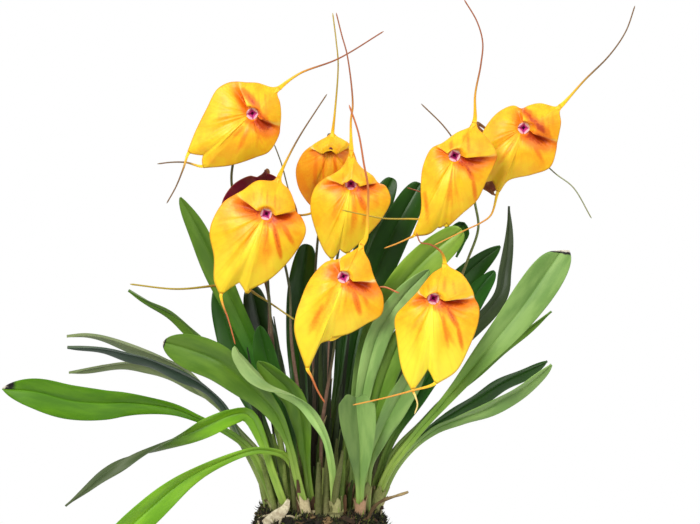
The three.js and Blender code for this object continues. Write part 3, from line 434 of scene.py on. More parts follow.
TAIL_LOOKS: Mapping[str, tuple[TailTone, TailTone, TailTone]] = {
    "upper_left": (TailTone.RUST, TailTone.BROWN, TailTone.BROWN),
    "left": (TailTone.BROWN, TailTone.SALMON, TailTone.SALMON),
    "back_centre": (TailTone.OLIVE, TailTone.SAGE, TailTone.SAGE),
    "centre": (TailTone.RUST, TailTone.SALMON, TailTone.SALMON),
    "lower_centre": (TailTone.SALMON,) * 3,
    "lower_right": (TailTone.RUST, TailTone.CREAM, TailTone.AMBER),
    "upper_right": (TailTone.RUST, TailTone.AMBER, TailTone.OLIVE),
    "far_right": (TailTone.BROWN, TailTone.BROWN, TailTone.AMBER),
    "back_left": (TailTone.OLIVE,) * 3,
    "back_right": (TailTone.SAGE, TailTone.RUST, TailTone.RUST),
}


@dataclass(frozen=True)
class Marks:
    """How one bloom is marked.

    Attributes:
        cover: how far the hood's edge hangs down over the mouth, in millimetres.
        pockets: how strong the flush under the hood's left and right edges is, partly the petals' own red and
            partly painted shade under the hood's overhang: 0.5 is orange, 1 is deep red.
        strokes: streaks on its front, each from one point to another (to its right and up from the mouth),
            with its half width and its strength, on the same scale.
        warmth: how strongly the whole front is flushed, on the same scale.
        glint: how bright the painted highlight along the hood's edge is, from 0 to 1.
        lemon: how far its middle and lower ends turn from gold to lemon, from 0 to 1.
    """

    cover: float
    pockets: tuple[float, float]
    strokes: tuple[tuple[float, float, float, float, float, float], ...]
    warmth: float = 0.06
    glint: float = 0.2
    lemon: float = 0.4


PLAIN_MARKS = Marks(1.0, (0.7, 1.0), ((4, -4, 8, -16, 1.6, 0.6), (-3, -4, -8, -16, 1.6, 0.4)))
MARKS: Mapping[str, Marks] = {
    "upper_left": Marks(1.0, (0.75, 1.15), (
        (-5, 13, 4, 3, 2.2, 0.8), (3, 2, 10, -8, 2.6, 0.9), (-5, -7, -12, -14, 2.2, 0.5),
        (-2, -8, -9, -22, 2.4, 0.52), (4, -7, 2, -20, 1.8, 0.4), (-12, 0, -24, -5, 2.6, 0.34),
    ), lemon=0.3),
    "left": Marks(0.5, (0.95, 1.2), (
        (1, -8, -1, -20, 1.3, 0.6), (4, -4, 8, -24, 1.7, 0.9), (8, -3, 15, -17, 2.0, 0.7),
        (-6, -6, -15, -24, 2.2, 0.4), (-14, -6, -22, -24, 3.2, 0.3), (-3, -6, -6, -18, 1.6, 0.34),
    ), lemon=0.65),
    "back_centre": Marks(3.2, (0.6, 0.6), (
        (3, -2, 4, -30, 1.6, 0.7), (8, -2, 10, -26, 2.2, 0.6), (-7, -4, -9, -28, 2.4, 0.6),
        (-3, -2, -3.5, -22, 1.4, 0.6),
    ), 0.3, 0.5),
    "centre": Marks(1.8, (0.7, 1.1), (
        (4, -4, 8, -14, 2.3, 0.85), (8, -14, 6, -26, 2.2, 0.45), (-5, -4, -11, -20, 2.4, 0.46),
        (13, -4, 15, -14, 3.0, 0.4), (-1, -8, -3, -24, 1.4, 0.24),
    ), 0.1, lemon=0.6),
    "lower_centre": Marks(0.5, (0.7, 1.15), (
        (5, -5, 9, -20, 2.2, 0.8), (9, -4, 14, -18, 2.2, 0.55), (2, -8, 0, -18, 1.6, 0.4),
        (-11, -15, -19, -31, 2.4, 0.55), (-6, -6, -13, -26, 2.4, 0.42),
    ), 0.1, 0.8, 0.8),
    "lower_right": Marks(1.0, (0.75, 1.15), (
        (6, -2, 13, -15, 2.0, 0.9), (13, -15, 16, -29, 1.9, 0.6), (5, -9, 8, -27, 1.8, 0.56),
        (-5, -6, -10, -26, 2.2, 0.34), (-12, -8, -15, -24, 2.4, 0.3),
    ), 0.06, 0.9, 1.0),
    "upper_right": Marks(0.3, (0.6, 1.15), (
        (5, -2, 10, -13, 2.0, 0.95), (10, -13, 12, -26, 1.9, 0.6), (-8, -8, -10, -27, 2.0, 0.34),
        (-16, -20, -14, -38, 2.0, 0.5),
    )),
    "far_right": Marks(0.6, (0.5, 1.15), (
        (-2, 12, 4, 5, 2.4, 0.9), (4, 5, 15, -6, 2.6, 0.9), (5, -3, 15, -7, 3.0, 0.95),
        (4, -6, 11, -19, 2.2, 0.6), (-4, -5, -15, -21, 2.2, 0.46), (-9, -3, -20, -12, 2.0, 0.3),
    )),
}


# ---- Small maths ----
def srgb(red: float, green: float, blue: float) -> Colour:
    """The linear colour of three sRGB bytes.

    Args:
        red, green, blue: the bytes, from 0 to 255.

    Returns:
        The colour with full opacity.
    """
    share = [channel / 255 for channel in (red, green, blue)]
    linear = [c / 12.92 if c <= 0.04045 else ((c + 0.055) / 1.055) ** 2.4 for c in share]
    return (linear[0], linear[1], linear[2], 1.0)


def paints(*colours: Sequence[float]) -> Array:
    """Colours given as sRGB bytes, linear, in rows of 4."""
    return np.array([srgb(*colour) for colour in colours])


def circle(sides: int) -> Array:
    """Angles once round, (1, sides)."""
    return np.linspace(0, 2 * np.pi, sides, endpoint=False)[None, :]


def grid(*axes: Any) -> Array:
    """Coordinates that stretch to one shape, as points of it."""
    return np.stack(np.broadcast_arrays(*axes), axis=-1)


def smooth(value: Any) -> Any:
    """An S-curve from 0 to 1, level at both ends, and held outside them."""
    t = np.clip(value, 0.0, 1.0)
    return t * t * (3 - 2 * t)


def mix(a: Any, b: Any, share: Any) -> Any:
    """The value at that share of the way from a to b."""
    return a + (b - a) * share


def bump_at(value: Any, middle: float, spread: float) -> Any:
    """A bell curve of height 1 round middle."""
    return np.exp(-(((value - middle) / spread) ** 2))


def unit(vectors: Array) -> Array:
    """The same directions, 1 long."""
    return vectors / np.maximum(np.linalg.norm(vectors, axis=-1, keepdims=True), 1e-12)


def wander(points: Array, seed: int, scale: float) -> Array:
    """Soft noise from -1 to 1: the mean of six sine waves whose directions and phases are drawn once.

    Args:
        points: where to read it, (..., 3).
        seed: which noise.
        scale: the size of its hills, in the points' unit.

    Returns:
        One value for each point.
    """
    draw = np.random.default_rng(seed)
    ways = unit(draw.normal(size=(6, 3))) * draw.uniform(0.6, 1.7, size=(6, 1)) * (2 * np.pi / scale)
    phases = draw.uniform(0, 2 * np.pi, size=6)
    return np.sin(points @ ways.T + phases).mean(axis=-1) * 1.8


class SmoothCurve:
    """A centripetal Catmull-Rom curve through points, read at shares of its length."""

    SAMPLES = 48

    def __init__(self, points: Sequence[Point] | Array) -> None:
        """Samples the curve.

        Between two points it is the cubic whose end slopes come from their neighbours, with knots as far
        apart as the square root of the distance. The ends are carried on straight.

        Args:
            points: what it goes through.
        """
        p = np.asarray(points, float)
        p = np.vstack([2 * p[0] - p[1], p, 2 * p[-1] - p[-2]])
        knot = np.sqrt(np.maximum(np.linalg.norm(np.diff(p, axis=0), axis=1), 1e-9))[:, None]
        a, b, c, d = p[:-3], p[1:-2], p[2:-1], p[3:]
        before, here, after = knot[:-2], knot[1:-1], knot[2:]
        slope_b = ((b - a) / before - (c - a) / (before + here) + (c - b) / here) * here
        slope_c = ((c - b) / here - (d - b) / (here + after) + (d - c) / after) * here
        t = np.linspace(0, 1, self.SAMPLES, endpoint=False)[None, :, None]
        cubic = (b[:, None] + slope_b[:, None] * t + (3 * (c - b) - 2 * slope_b - slope_c)[:, None] * t ** 2
                 + (2 * (b - c) + slope_b + slope_c)[:, None] * t ** 3)
        self.points = np.vstack([cubic.reshape(-1, 3), p[-2]])
        steps = np.linalg.norm(np.diff(self.points, axis=0), axis=1)
        self.reach = np.concatenate([[0.0], np.cumsum(steps)])
        self.length = float(self.reach[-1])

    def at(self, shares: Array) -> Array:
        """The points at those shares of the length, (..., 3)."""
        where = np.asarray(shares, float) * self.length
        return np.stack([np.interp(where, self.reach, self.points[:, axis]) for axis in range(3)], axis=-1)

    def along(self, shares: Array) -> Array:
        """The unit tangents at those shares, (..., 3).

        Args:
            shares: shares of its length.

        Returns:
            One unit vector for each share.
        """
        step = 0.004
        low = np.clip(np.asarray(shares, float) - step, 0, 1)
        high = np.clip(np.asarray(shares, float) + step, 0, 1)
        return unit(self.at(high) - self.at(low))


# ---- Meshes ----
Layers = dict[str, Array]


@dataclass
class Shell:
    """A closed surface.

    Attributes:
        points: its vertices, in millimetres.
        quads, tris: its faces.
        layers: what is stored at each vertex, by name: one number, or a row of 3 or 4.
    """

    points: Array
    quads: Array
    tris: Array
    layers: Layers = field(default_factory=dict)

    def facing_out(self) -> "Shell":
        """The same surface, turned inside out if its volume is negative.

        Returns:
            The surface whose faces look outwards.
        """
        a, b, c, d = (self.points[self.quads[:, i]] for i in range(4))
        volume = np.einsum("ij,ij->", a, np.cross(b, c)) + np.einsum("ij,ij->", a, np.cross(c, d))
        if len(self.tris):
            e, f, g = (self.points[self.tris[:, i]] for i in range(3))
            volume += np.einsum("ij,ij->", e, np.cross(f, g))
        if volume >= 0:
            return self
        return Shell(self.points, self.quads[:, ::-1], self.tris[:, ::-1], self.layers)


def spread(value: Any, shape: tuple[int, ...]) -> Array:
    """A value or grid stretched over a grid of that shape, keeping a last axis of 3 or 4.

    Args:
        value: a number, a grid or a point.
        shape: rows and columns.

    Returns:
        Its values at every point of the grid.
    """
    given = np.asarray(value, float)
    if given.ndim in (1, len(shape) + 1) and given.shape[-1] in (3, 4):
        return np.broadcast_to(given, shape + (given.shape[-1],))
    return np.broadcast_to(given, shape)


def ring_solid(rings: Array, layers: Mapping[str, Any]) -> Shell:
    """Closes a stack of rings with a pole at each end.

    Point (i, k) joins (i + 1, k) and (i, k + 1), the last of a ring joins its first, and each pole is the
    mean of its end ring.

    Args:
        rings: the points, (rings, sides, 3).
        layers: what is stored at them, each of that shape or stretching to it.

    Returns:
        The closed surface.
    """
    count, sides = rings.shape[:2]
    index = np.arange(count * sides).reshape(count, sides)
    after = np.roll(index, -1, axis=1)
    quads = np.stack([index[:-1], after[:-1], after[1:], index[1:]], axis=-1).reshape(-1, 4)
    low, high = np.full(sides, count * sides), np.full(sides, count * sides + 1)
    tris = np.concatenate([
        np.stack([after[0], index[0], low], axis=-1),
        np.stack([index[-1], after[-1], high], axis=-1),
    ])

    def with_poles(values: Array) -> Array:
        """The values as rows, with the mean of each end ring at the end.

        Args:
            values: what each point of the rings has.

        Returns:
            Values at each point of the mesh, the two poles last.
        """
        poles = values[[0, -1]].mean(axis=1).reshape(2, -1)
        return np.concatenate([values.reshape(count * sides, -1), poles])

    stored = {name: with_poles(spread(value, (count, sides))) for name, value in layers.items()}
    return Shell(with_poles(rings), quads, tris, stored).facing_out()


def sleeve(outer: Array, inner: Array, layers: Mapping[str, Any]) -> Shell:
    """A tube with a wall: the outer rings up and the inner rings down again, joined at both mouths.

    Args:
        outer, inner: the rings, (rings, sides, 3).
        layers: what is stored, each (rings, sides) or stretching to it, the same on both faces.

    Returns:
        The closed surface.
    """
    count, sides = outer.shape[:2]
    points = np.concatenate([outer, inner[::-1]])
    index = np.arange(2 * count * sides).reshape(2 * count, sides)
    after, up = np.roll(index, -1, axis=1), np.roll(index, -1, axis=0)
    quads = np.stack([index, after, np.roll(up, -1, axis=1), up], axis=-1).reshape(-1, 4)
    stored = {}
    for name, value in layers.items():
        face = spread(value, (count, sides))
        stored[name] = np.concatenate([face, face[::-1]]).reshape(2 * count * sides, -1)
    return Shell(points.reshape(-1, 3), quads, np.zeros((0, 3), int), stored).facing_out()


def join(shells: Sequence[Shell]) -> Shell:
    """Several closed surfaces as one mesh. All of them store the same layers.

    Args:
        shells: the surfaces.

    Returns:
        The mesh, with their layers one after another.
    """
    starts = np.cumsum([0] + [len(shell.points) for shell in shells[:-1]])
    return Shell(
        np.concatenate([shell.points for shell in shells]),
        np.concatenate([shell.quads + start for shell, start in zip(shells, starts)]),
        np.concatenate([shell.tris + start for shell, start in zip(shells, starts)]),
        {name: np.concatenate([shell.layers[name] for shell in shells]) for name in shells[0].layers},
    )


def section_frames(curve: SmoothCurve, shares: Array, towards: Array) -> tuple[Array, Array, Array]:
    """Middles and two unit cross directions along a curve.

    The second direction is towards, made square to the curve, and the first is the tangent crossed with it.

    Args:
        curve: the path.
        shares: where along it, (n,).
        towards: a direction that is never along the path.

    Returns:
        The middles, the sideways and the upward directions, each (n, 3).
    """
    along = curve.along(shares)
    up = unit(towards - (along @ towards)[:, None] * along)
    return curve.at(shares), np.cross(along, up), up


def rod(curve: SmoothCurve, shares: Array, wide: Array, thick: Array, towards: Array, sides: int,
        layers: Mapping[str, Any]) -> Shell:
    """An oval rod: at each share, an ellipse of those half sizes across the curve.

    Args:
        curve: the path.
        shares: where its rings are, (n,).
        wide, thick: the half sizes sideways and upwards, (n,) or (n, sides).
        towards: the upward direction, never along the path.
        sides: points in a ring.
        layers: what is stored, (n, sides) or stretching to it.

    Returns:
        The closed surface.
    """
    middle, side, up = section_frames(curve, shares, towards)
    turn = circle(sides)[..., None]
    wide, thick = (np.asarray(size, float).reshape(len(shares), -1)[:, :, None] for size in (wide, thick))
    rings = middle[:, None] + side[:, None] * wide * np.cos(turn) + up[:, None] * thick * np.sin(turn)
    return ring_solid(rings, layers)


# ---- Node helpers and shared effects ----
class NodeKit:
    """Places shader nodes and links them."""

    def __init__(self, tree: bpy.types.NodeTree) -> None:
        """Works on that node tree."""
        self.tree = tree

    def feed(self, socket: bpy.types.NodeSocket, value: Any) -> None:
        """Links value into the socket if it is a socket too, and sets it there otherwise.

        Args:
            socket: the input.
            value: what goes in.
        """
        if isinstance(value, bpy.types.NodeSocket):
            self.tree.links.new(value, socket)
        else:
            socket.default_value = value

    def node(self, kind: str, inputs: Mapping[Any, Any] | None = None, **settings: Any) -> bpy.types.Node:
        """A node of that kind, with its settings and inputs.

        Args:
            kind: its class.
            inputs: what goes into its inputs, by name or place.
            settings: its properties.

        Returns:
            The node.
        """
        made = self.tree.nodes.new(kind)
        for name, value in settings.items():
            setattr(made, name, value)
        for name, value in (inputs or {}).items():
            self.feed(made.inputs[name], value)
        return made

    def stored(self, layer: str, kind: str = "Fac") -> bpy.types.NodeSocket:
        """What is stored under that name: a number (Fac), a Color or a Vector."""
        return self.node("ShaderNodeAttribute", attribute_name=layer).outputs[kind]

    def place(self) -> bpy.types.NodeSocket:
        """Object coordinates, in metres."""
        return self.node("ShaderNodeTexCoord").outputs["Object"]

    def math(self, operation: str, *values: Any) -> bpy.types.NodeSocket:
        """One arithmetic step."""
        return self.node("ShaderNodeMath", dict(enumerate(values)), operation=operation).outputs[0]

    def times(self, a: Any, b: Any) -> bpy.types.NodeSocket:
        """The product of two values."""
        return self.math("MULTIPLY", a, b)

    def plus(self, a: Any, b: Any) -> bpy.types.NodeSocket:
        """The sum of two values."""
        return self.math("ADD", a, b)

    def rest(self, share: Any) -> bpy.types.NodeSocket:
        """What a share leaves of 1."""
        return self.math("SUBTRACT", 1.0, share)

    def step(self, value: Any, low: float, high: float) -> bpy.types.NodeSocket:
        """An S-curve from 0 where value is low to 1 where it is high."""
        inputs = {"Value": value, "From Min": low, "From Max": high}
        return self.node("ShaderNodeMapRange", inputs, interpolation_type="SMOOTHSTEP").outputs["Result"]

    def blend(self, share: Any, a: Any, b: Any, how: str = "MIX") -> bpy.types.NodeSocket:
        """Two colours mixed."""
        return self.node("ShaderNodeMix", {0: share, 6: a, 7: b}, data_type="RGBA", blend_type=how).outputs[2]

    def noise(self, vector: Any, scale: Any, detail: float = 3.0, rough: float = 0.5) -> bpy.types.NodeSocket:
        """Cloudy noise round 0.5."""
        inputs = {"Vector": vector, "Scale": scale, "Detail": detail, "Roughness": rough}
        return self.node("ShaderNodeTexNoise", inputs).outputs["Fac"]

    def effect(self, group: bpy.types.NodeTree, inputs: Mapping[str, Any]) -> bpy.types.Node:
        """A shared effect, with this material's own values."""
        return self.node("ShaderNodeGroup", inputs, node_tree=group)

    def relief(self, height: Any, depth: float, strength: float, under: Any = None) -> bpy.types.NodeSocket:
        """A normal that follows a height, over the normal given in under.

        Args:
            height: the height.
            depth: how many metres a height of 1 is.
            strength: how much of it is felt, from 0 to 1.
            under: the normal of a coarser relief, if any.

        Returns:
            The normal.
        """
        made = self.node("ShaderNodeBump", {"Height": height, "Distance": depth, "Strength": strength})
        if under is not None:
            self.feed(made.inputs["Normal"], under)
        return made.outputs["Normal"]


class Effects:
    """The shader node groups that more than one finish uses, each made once."""

    made: dict[str, bpy.types.NodeTree] = {}

    @classmethod
    def start(cls, name: str, vector: str, numbers: Mapping[str, float],
              outputs: Sequence[str]) -> tuple[NodeKit, bpy.types.NodeOutputs, bpy.types.NodeInputs]:
        """An empty group with its sockets.

        Args:
            name: the group's name.
            vector: the name of its first input, a vector.
            numbers: its other inputs with their usual values.
            outputs: the names of its outputs, all numbers.

        Returns:
            A kit for its nodes, the sockets that bring its inputs and those that take its outputs.
        """
        tree = bpy.data.node_groups.new(name, "ShaderNodeTree")
        tree.interface.new_socket(name=vector, in_out="INPUT", socket_type="NodeSocketVector")
        for label, usual in numbers.items():
            socket = tree.interface.new_socket(name=label, in_out="INPUT", socket_type="NodeSocketFloat")
            socket.default_value = usual
        for label in outputs:
            tree.interface.new_socket(name=label, in_out="OUTPUT", socket_type="NodeSocketFloat")
        cls.made[name] = tree
        kit = NodeKit(tree)
        return kit, kit.node("NodeGroupInput").outputs, kit.node("NodeGroupOutput").inputs

    @classmethod
    def fibres(cls) -> bpy.types.NodeTree:
        """Fine lines side by side that waver a little, one every Spacing along the chart's first axis.

        Returns:
            The shared node group, made at the first call.
        """
        if "fibres" not in cls.made:
            kit, given, out = cls.start("fibres", "Chart", {"Spacing": 1.0, "Waver": 0.6}, ("Line", "Soft"))
            parts = kit.node("ShaderNodeSeparateXYZ", {0: given["Chart"]})
            drift = kit.math("SUBTRACT", kit.noise(given["Chart"], 0.12, 2.0), 0.5)
            column = kit.plus(parts.outputs["X"], kit.times(drift, given["Waver"]))
            wave = kit.math("SINE", kit.times(kit.math("DIVIDE", column, given["Spacing"]), 2 * math.pi))
            soft = kit.math("MULTIPLY_ADD", wave, 0.5, 0.5)
            kit.feed(out["Line"], kit.math("POWER", soft, 5.0))
            kit.feed(out["Soft"], soft)
        return cls.made["fibres"]

    @classmethod
    def blotches(cls) -> bpy.types.NodeTree:
        """Patches with soft edges: noise of that Scale, cut off between Low and High.

        Returns:
            The shared node group, made at the first call.
        """
        if "blotches" not in cls.made:
            numbers = {"Scale": 100.0, "Low": 0.45, "High": 0.65}
            kit, given, out = cls.start("blotches", "Vector", numbers, ("Mask",))
            cloud = kit.noise(given["Vector"], given["Scale"], 4.0, 0.6)
            kit.feed(out["Mask"], kit.step(cloud, given["Low"], given["High"]))
        return cls.made["blotches"]


# ---- Finishes ----
@dataclass(frozen=True)
class Finish:
    """A material, made once however many pieces wear it.

    Attributes:
        name: the material's name.
        slot: the name of the material slot that it is meant for; not used.
    """

    name: str
    slot: str

    def material(self) -> bpy.types.Material:
        """The material, made at the first call.

        Returns:
            The Blender material of that name.
        """
        known = bpy.data.materials.get(self.name)
        if known:
            return known
        made = bpy.data.materials.new(self.name)
        made.use_nodes = True
        made.node_tree.nodes.clear()
        kit = NodeKit(made.node_tree)
        shader = kit.node("ShaderNodeBsdfPrincipled", self.paint(kit))
        kit.node("ShaderNodeOutputMaterial", {"Surface": shader.outputs["BSDF"]})
        return made

    def paint(self, kit: NodeKit) -> dict[str, Any]:
        """What feeds the shader. Each finish has its own.

        Args:
            kit: the material's node kit.

        Returns:
            A value or a socket for each input of its Principled BSDF.
        """
        raise NotImplementedError


@dataclass(frozen=True)
class LeafFinish(Finish):
    """A leathery leaf: its own green, a darker midrib channel, faint parallel veins and a waxy gloss.

    Attributes:
        vein_spacing: millimetres between the fine veins.
        stretch: how the clouds in its green are drawn out along the blade.
        darken, lighten: what its green is multiplied by where it is darker and lighter.
        speck: the colour of small spots.
        black, bleached: the colours of a dead tip.
        relief_depth: how deep its veins and grain are, in metres.
    """

    vein_spacing: float = 0.85
    stretch: Point = (0.16, 0.035, 0.16)
    darken: Colour = (0.72, 0.80, 0.66, 1.0)
    lighten: Colour = (1.14, 1.10, 1.04, 1.0)
    speck: Colour = srgb(150, 150, 96)
    black: Colour = srgb(18, 16, 12)
    bleached: Colour = srgb(196, 188, 172)
    relief_depth: float = 0.000012

    def paint(self, kit: NodeKit) -> dict[str, Any]:
        """Mottles the stored green, draws the veins, the midrib and the margin, and lets the tip die back.

        Args:
            kit: the material's node kit.

        Returns:
            What feeds the shader.
        """
        chart, dead, tint = kit.stored("chart", "Vector"), kit.stored("dead"), kit.stored("tint", "Color")
        stretched = kit.node("ShaderNodeMapping", {"Vector": chart, "Scale": self.stretch}).outputs[0]
        veins = kit.effect(Effects.fibres(), {"Chart": chart, "Spacing": self.vein_spacing, "Waver": 1.2})
        cloud = kit.noise(stretched, 1.0, 4.0, 0.55)
        darker = kit.blend(1.0, tint, self.darken, "MULTIPLY")
        lighter = kit.blend(1.0, tint, self.lighten, "MULTIPLY")
        green = kit.blend(kit.step(cloud, 0.36, 0.66), darker, lighter)
        green = kit.blend(kit.times(veins.outputs["Line"], 0.12), green, darker)
        from_midrib = kit.math("ABSOLUTE", kit.stored("across"))
        green = kit.blend(kit.times(kit.rest(kit.step(from_midrib, 0.015, 0.075)), 0.36), green, darker)
        green = kit.blend(kit.times(kit.step(from_midrib, 0.955, 0.995), 0.35), green, lighter)
        patches = {"Vector": kit.place(), "Scale": 420.0, "Low": 0.69, "High": 0.78}
        specks = kit.effect(Effects.blotches(), patches).outputs["Mask"]
        green = kit.blend(kit.times(specks, 0.22), green, self.speck)
        uneven = kit.math("MULTIPLY_ADD", kit.noise(kit.place(), 300.0), 0.5, -0.25)
        dying = kit.plus(dead, kit.times(uneven, kit.step(dead, 0.02, 0.3)))
        green = kit.blend(kit.step(dying, 0.28, 0.5), green, self.black)
        green = kit.blend(kit.step(dying, 0.72, 0.86), green, self.bleached)
        gloss = kit.plus(kit.math("MULTIPLY_ADD", cloud, 0.18, 0.28), kit.times(kit.stored("under"), 0.16))
        fine = kit.relief(kit.noise(kit.place(), 1500.0, 2.0), self.relief_depth, 0.4)
        ribbed = kit.relief(veins.outputs["Soft"], self.relief_depth, 0.4, fine)
        return {"Base Color": green, "Roughness": gloss, "Normal": ribbed, "Specular IOR Level": 0.32}


@dataclass(frozen=True)
class SepalFinish(Finish):
    """The sepals: golden, lemon down the middle, flushed red-orange beside the mouth, partly as painted shade
    under the hood, maroon behind.

    Attributes:
        gold, deep, lemon, orange, ember: the front's colours.
        maroon, bronze: the back's colours.
        throat: the inside of the cup.
        rim: the thin edge.
        light: the colour of the painted highlight along the hood's edge.
        vein_spacing: degrees round the mouth between the fine veins.
        relief_depth: how deep its veins and grain are, in metres.
    """

    gold: Colour = srgb(255, 194, 26)
    deep: Colour = srgb(254, 170, 18)
    lemon: Colour = srgb(255, 236, 62)
    orange: Colour = srgb(240, 128, 12)
    ember: Colour = srgb(184, 60, 4)
    maroon: Colour = srgb(112, 14, 38)
    bronze: Colour = srgb(132, 84, 40)
    throat: Colour = srgb(190, 60, 96)
    rim: Colour = srgb(214, 122, 34)
    light: Colour = srgb(255, 236, 180)
    vein_spacing: float = 6.2
    relief_depth: float = 0.00006

    def paint(self, kit: NodeKit) -> dict[str, Any]:
        """Lays lemon, the flush (partly painted shade under the hood's edges), veins, the edge and the
        painted highlight over gold, with maroon behind and the tail's tone.

        Args:
            kit: the material's node kit.

        Returns:
            What feeds the shader.
        """
        reach, tail = kit.stored("reach"), kit.stored("tail")
        cloud = kit.noise(kit.place(), 130.0, 3.0, 0.55)
        grain = kit.noise(kit.place(), 900.0, 3.0, 0.6)
        front = kit.blend(kit.step(cloud, 0.35, 0.68), self.gold, self.deep)
        front = kit.blend(kit.stored("lemon"), front, self.lemon)
        flush = kit.times(kit.stored("flush"), kit.plus(0.62, kit.times(grain, 0.76)))
        # Orange and ember: the flush, partly the petals' own red and partly painted shade under the hood's
        # edges.
        front = kit.blend(kit.step(flush, 0.1, 0.5), front, self.orange)
        front = kit.blend(kit.step(flush, 0.5, 1.0), front, self.ember)
        outward = {"X": kit.stored("bearing"), "Y": kit.times(reach, 20.0)}
        chart = kit.node("ShaderNodeCombineXYZ", outward).outputs[0]
        veins = kit.effect(Effects.fibres(), {"Chart": chart, "Spacing": self.vein_spacing, "Waver": 9.0})
        fading = kit.times(kit.step(reach, 0.05, 0.3), kit.rest(tail))
        front = kit.blend(kit.times(kit.times(veins.outputs["Line"], fading), 0.08), front, self.orange)
        edge = kit.times(kit.step(reach, 0.962, 0.995), kit.rest(tail))
        front = kit.blend(kit.times(edge, 0.4), front, self.rim)
        # Painted highlight: a pale line along the hood's edge.
        front = kit.blend(kit.stored("glint"), front, self.light)
        behind = kit.blend(kit.stored("bronzed"), self.maroon, self.bronze)
        behind = kit.blend(kit.times(veins.outputs["Line"], 0.3), behind, self.maroon)
        skin = kit.blend(kit.stored("back"), front, behind)
        skin = kit.blend(kit.stored("throat"), skin, self.throat)
        skin = kit.blend(kit.step(tail, 0.0, 0.45), skin, kit.stored("tint", "Color"))
        grainy = kit.times(grain, kit.rest(kit.step(tail, 0.0, 0.08)))
        fine = kit.relief(grainy, self.relief_depth, 0.6)
        ribbed = kit.relief(kit.times(veins.outputs["Soft"], fading), self.relief_depth, 0.6, fine)
        return {
            "Base Color": skin, "Roughness": kit.math("MULTIPLY_ADD", grain, 0.2, 0.34), "Normal": ribbed,
            "Specular IOR Level": 0.35, "Subsurface Weight": 0.18, "Subsurface Radius": (1.0, 0.45, 0.12),
            "Subsurface Scale": 0.0025,
        }


@dataclass(frozen=True)
class TintedFinish(Finish):
    """A surface whose colour is stored at its vertices, broken up by two noises and fine relief.

    Attributes:
        rough: its roughness.
        grain: how many grains there are to a metre.
        contrast: how much darker the dark grains are.
        relief_depth: how deep the grain is, in metres.
        fibre: millimetres between fibres along the piece, or 0 for none.
        darken: what its colour is multiplied by where it is dark.
    """

    rough: float
    grain: float
    contrast: float
    relief_depth: float
    fibre: float = 0.0
    darken: Colour = (0.42, 0.36, 0.32, 1.0)

    def paint(self, kit: NodeKit) -> dict[str, Any]:
        """Darkens the stored colour in grains, in patches and, where it has them, between fibres.

        Args:
            kit: the material's node kit.

        Returns:
            What feeds the shader.
        """
        tint, fine = kit.stored("tint", "Color"), kit.noise(kit.place(), self.grain, 4.0, 0.6)
        dark = kit.blend(1.0, tint, self.darken, "MULTIPLY")
        colour = kit.blend(kit.times(kit.step(fine, 0.62, 0.36), self.contrast), tint, dark)
        sizes = {"Vector": kit.place(), "Scale": self.grain * 0.22, "Low": 0.42, "High": 0.62}
        patches = kit.effect(Effects.blotches(), sizes).outputs["Mask"]
        colour = kit.blend(kit.times(patches, self.contrast * 0.5), colour, dark)
        height = fine
        if self.fibre:
            spacing = {"Chart": kit.stored("chart", "Vector"), "Spacing": self.fibre, "Waver": 0.8}
            lines = kit.effect(Effects.fibres(), spacing).outputs
            colour = kit.blend(kit.times(lines["Line"], 0.45), colour, dark)
            height = kit.plus(fine, lines["Soft"])
        return {"Base Color": colour, "Roughness": kit.plus(self.rough - 0.08, kit.times(fine, 0.16)),
                "Normal": kit.relief(height, self.relief_depth, 0.8), "Specular IOR Level": 0.4}


@dataclass(frozen=True)
class ClayFinish(Finish):
    """Fired clay that has stood in use: turning lines, pale lime bloom and a green-grey tide below the rim.

    Attributes:
        clay, burnt, lime, algae: its colours.
        turned: how the noise is squeezed upwards into turning lines.
        tide: between which heights the tide sets in, in metres.
    """

    clay: Colour = srgb(186, 104, 66)
    burnt: Colour = srgb(150, 76, 46)
    lime: Colour = srgb(206, 178, 154)
    algae: Colour = srgb(92, 92, 58)
    turned: Point = (40.0, 40.0, 1600.0)
    tide: tuple[float, float] = (0.028, 0.056)

    def paint(self, kit: NodeKit) -> dict[str, Any]:
        """Lays turning lines, sand, lime and algae over the clay.

        Args:
            kit: the material's node kit.

        Returns:
            What feeds the shader.
        """
        place = kit.place()
        height = kit.node("ShaderNodeSeparateXYZ", {0: place}).outputs["Z"]
        flat = kit.node("ShaderNodeMapping", {"Vector": place, "Scale": self.turned}).outputs[0]
        turning = kit.noise(flat, 1.0, 3.0, 0.6)
        sand = kit.noise(place, 1500.0, 4.0, 0.7)
        cloud = kit.noise(place, 38.0, 4.0, 0.6)
        colour = kit.blend(kit.step(turning, 0.35, 0.7), self.clay, self.burnt)
        colour = kit.blend(kit.times(kit.step(sand, 0.58, 0.75), 0.5), colour, self.lime)
        bloom = kit.effect(Effects.blotches(), {"Vector": place, "Scale": 55.0, "Low": 0.5, "High": 0.72})
        colour = kit.blend(kit.times(bloom.outputs["Mask"], 0.6), colour, self.lime)
        tide = kit.times(kit.step(height, *self.tide), kit.step(cloud, 0.42, 0.66))
        colour = kit.blend(kit.times(tide, 0.5), colour, self.algae)
        coarse = kit.relief(turning, 0.0004, 0.5)
        return {"Base Color": colour, "Roughness": kit.plus(0.78, kit.times(sand, 0.16)),
                "Normal": kit.relief(sand, 0.00022, 0.7, coarse), "Specular IOR Level": 0.3}


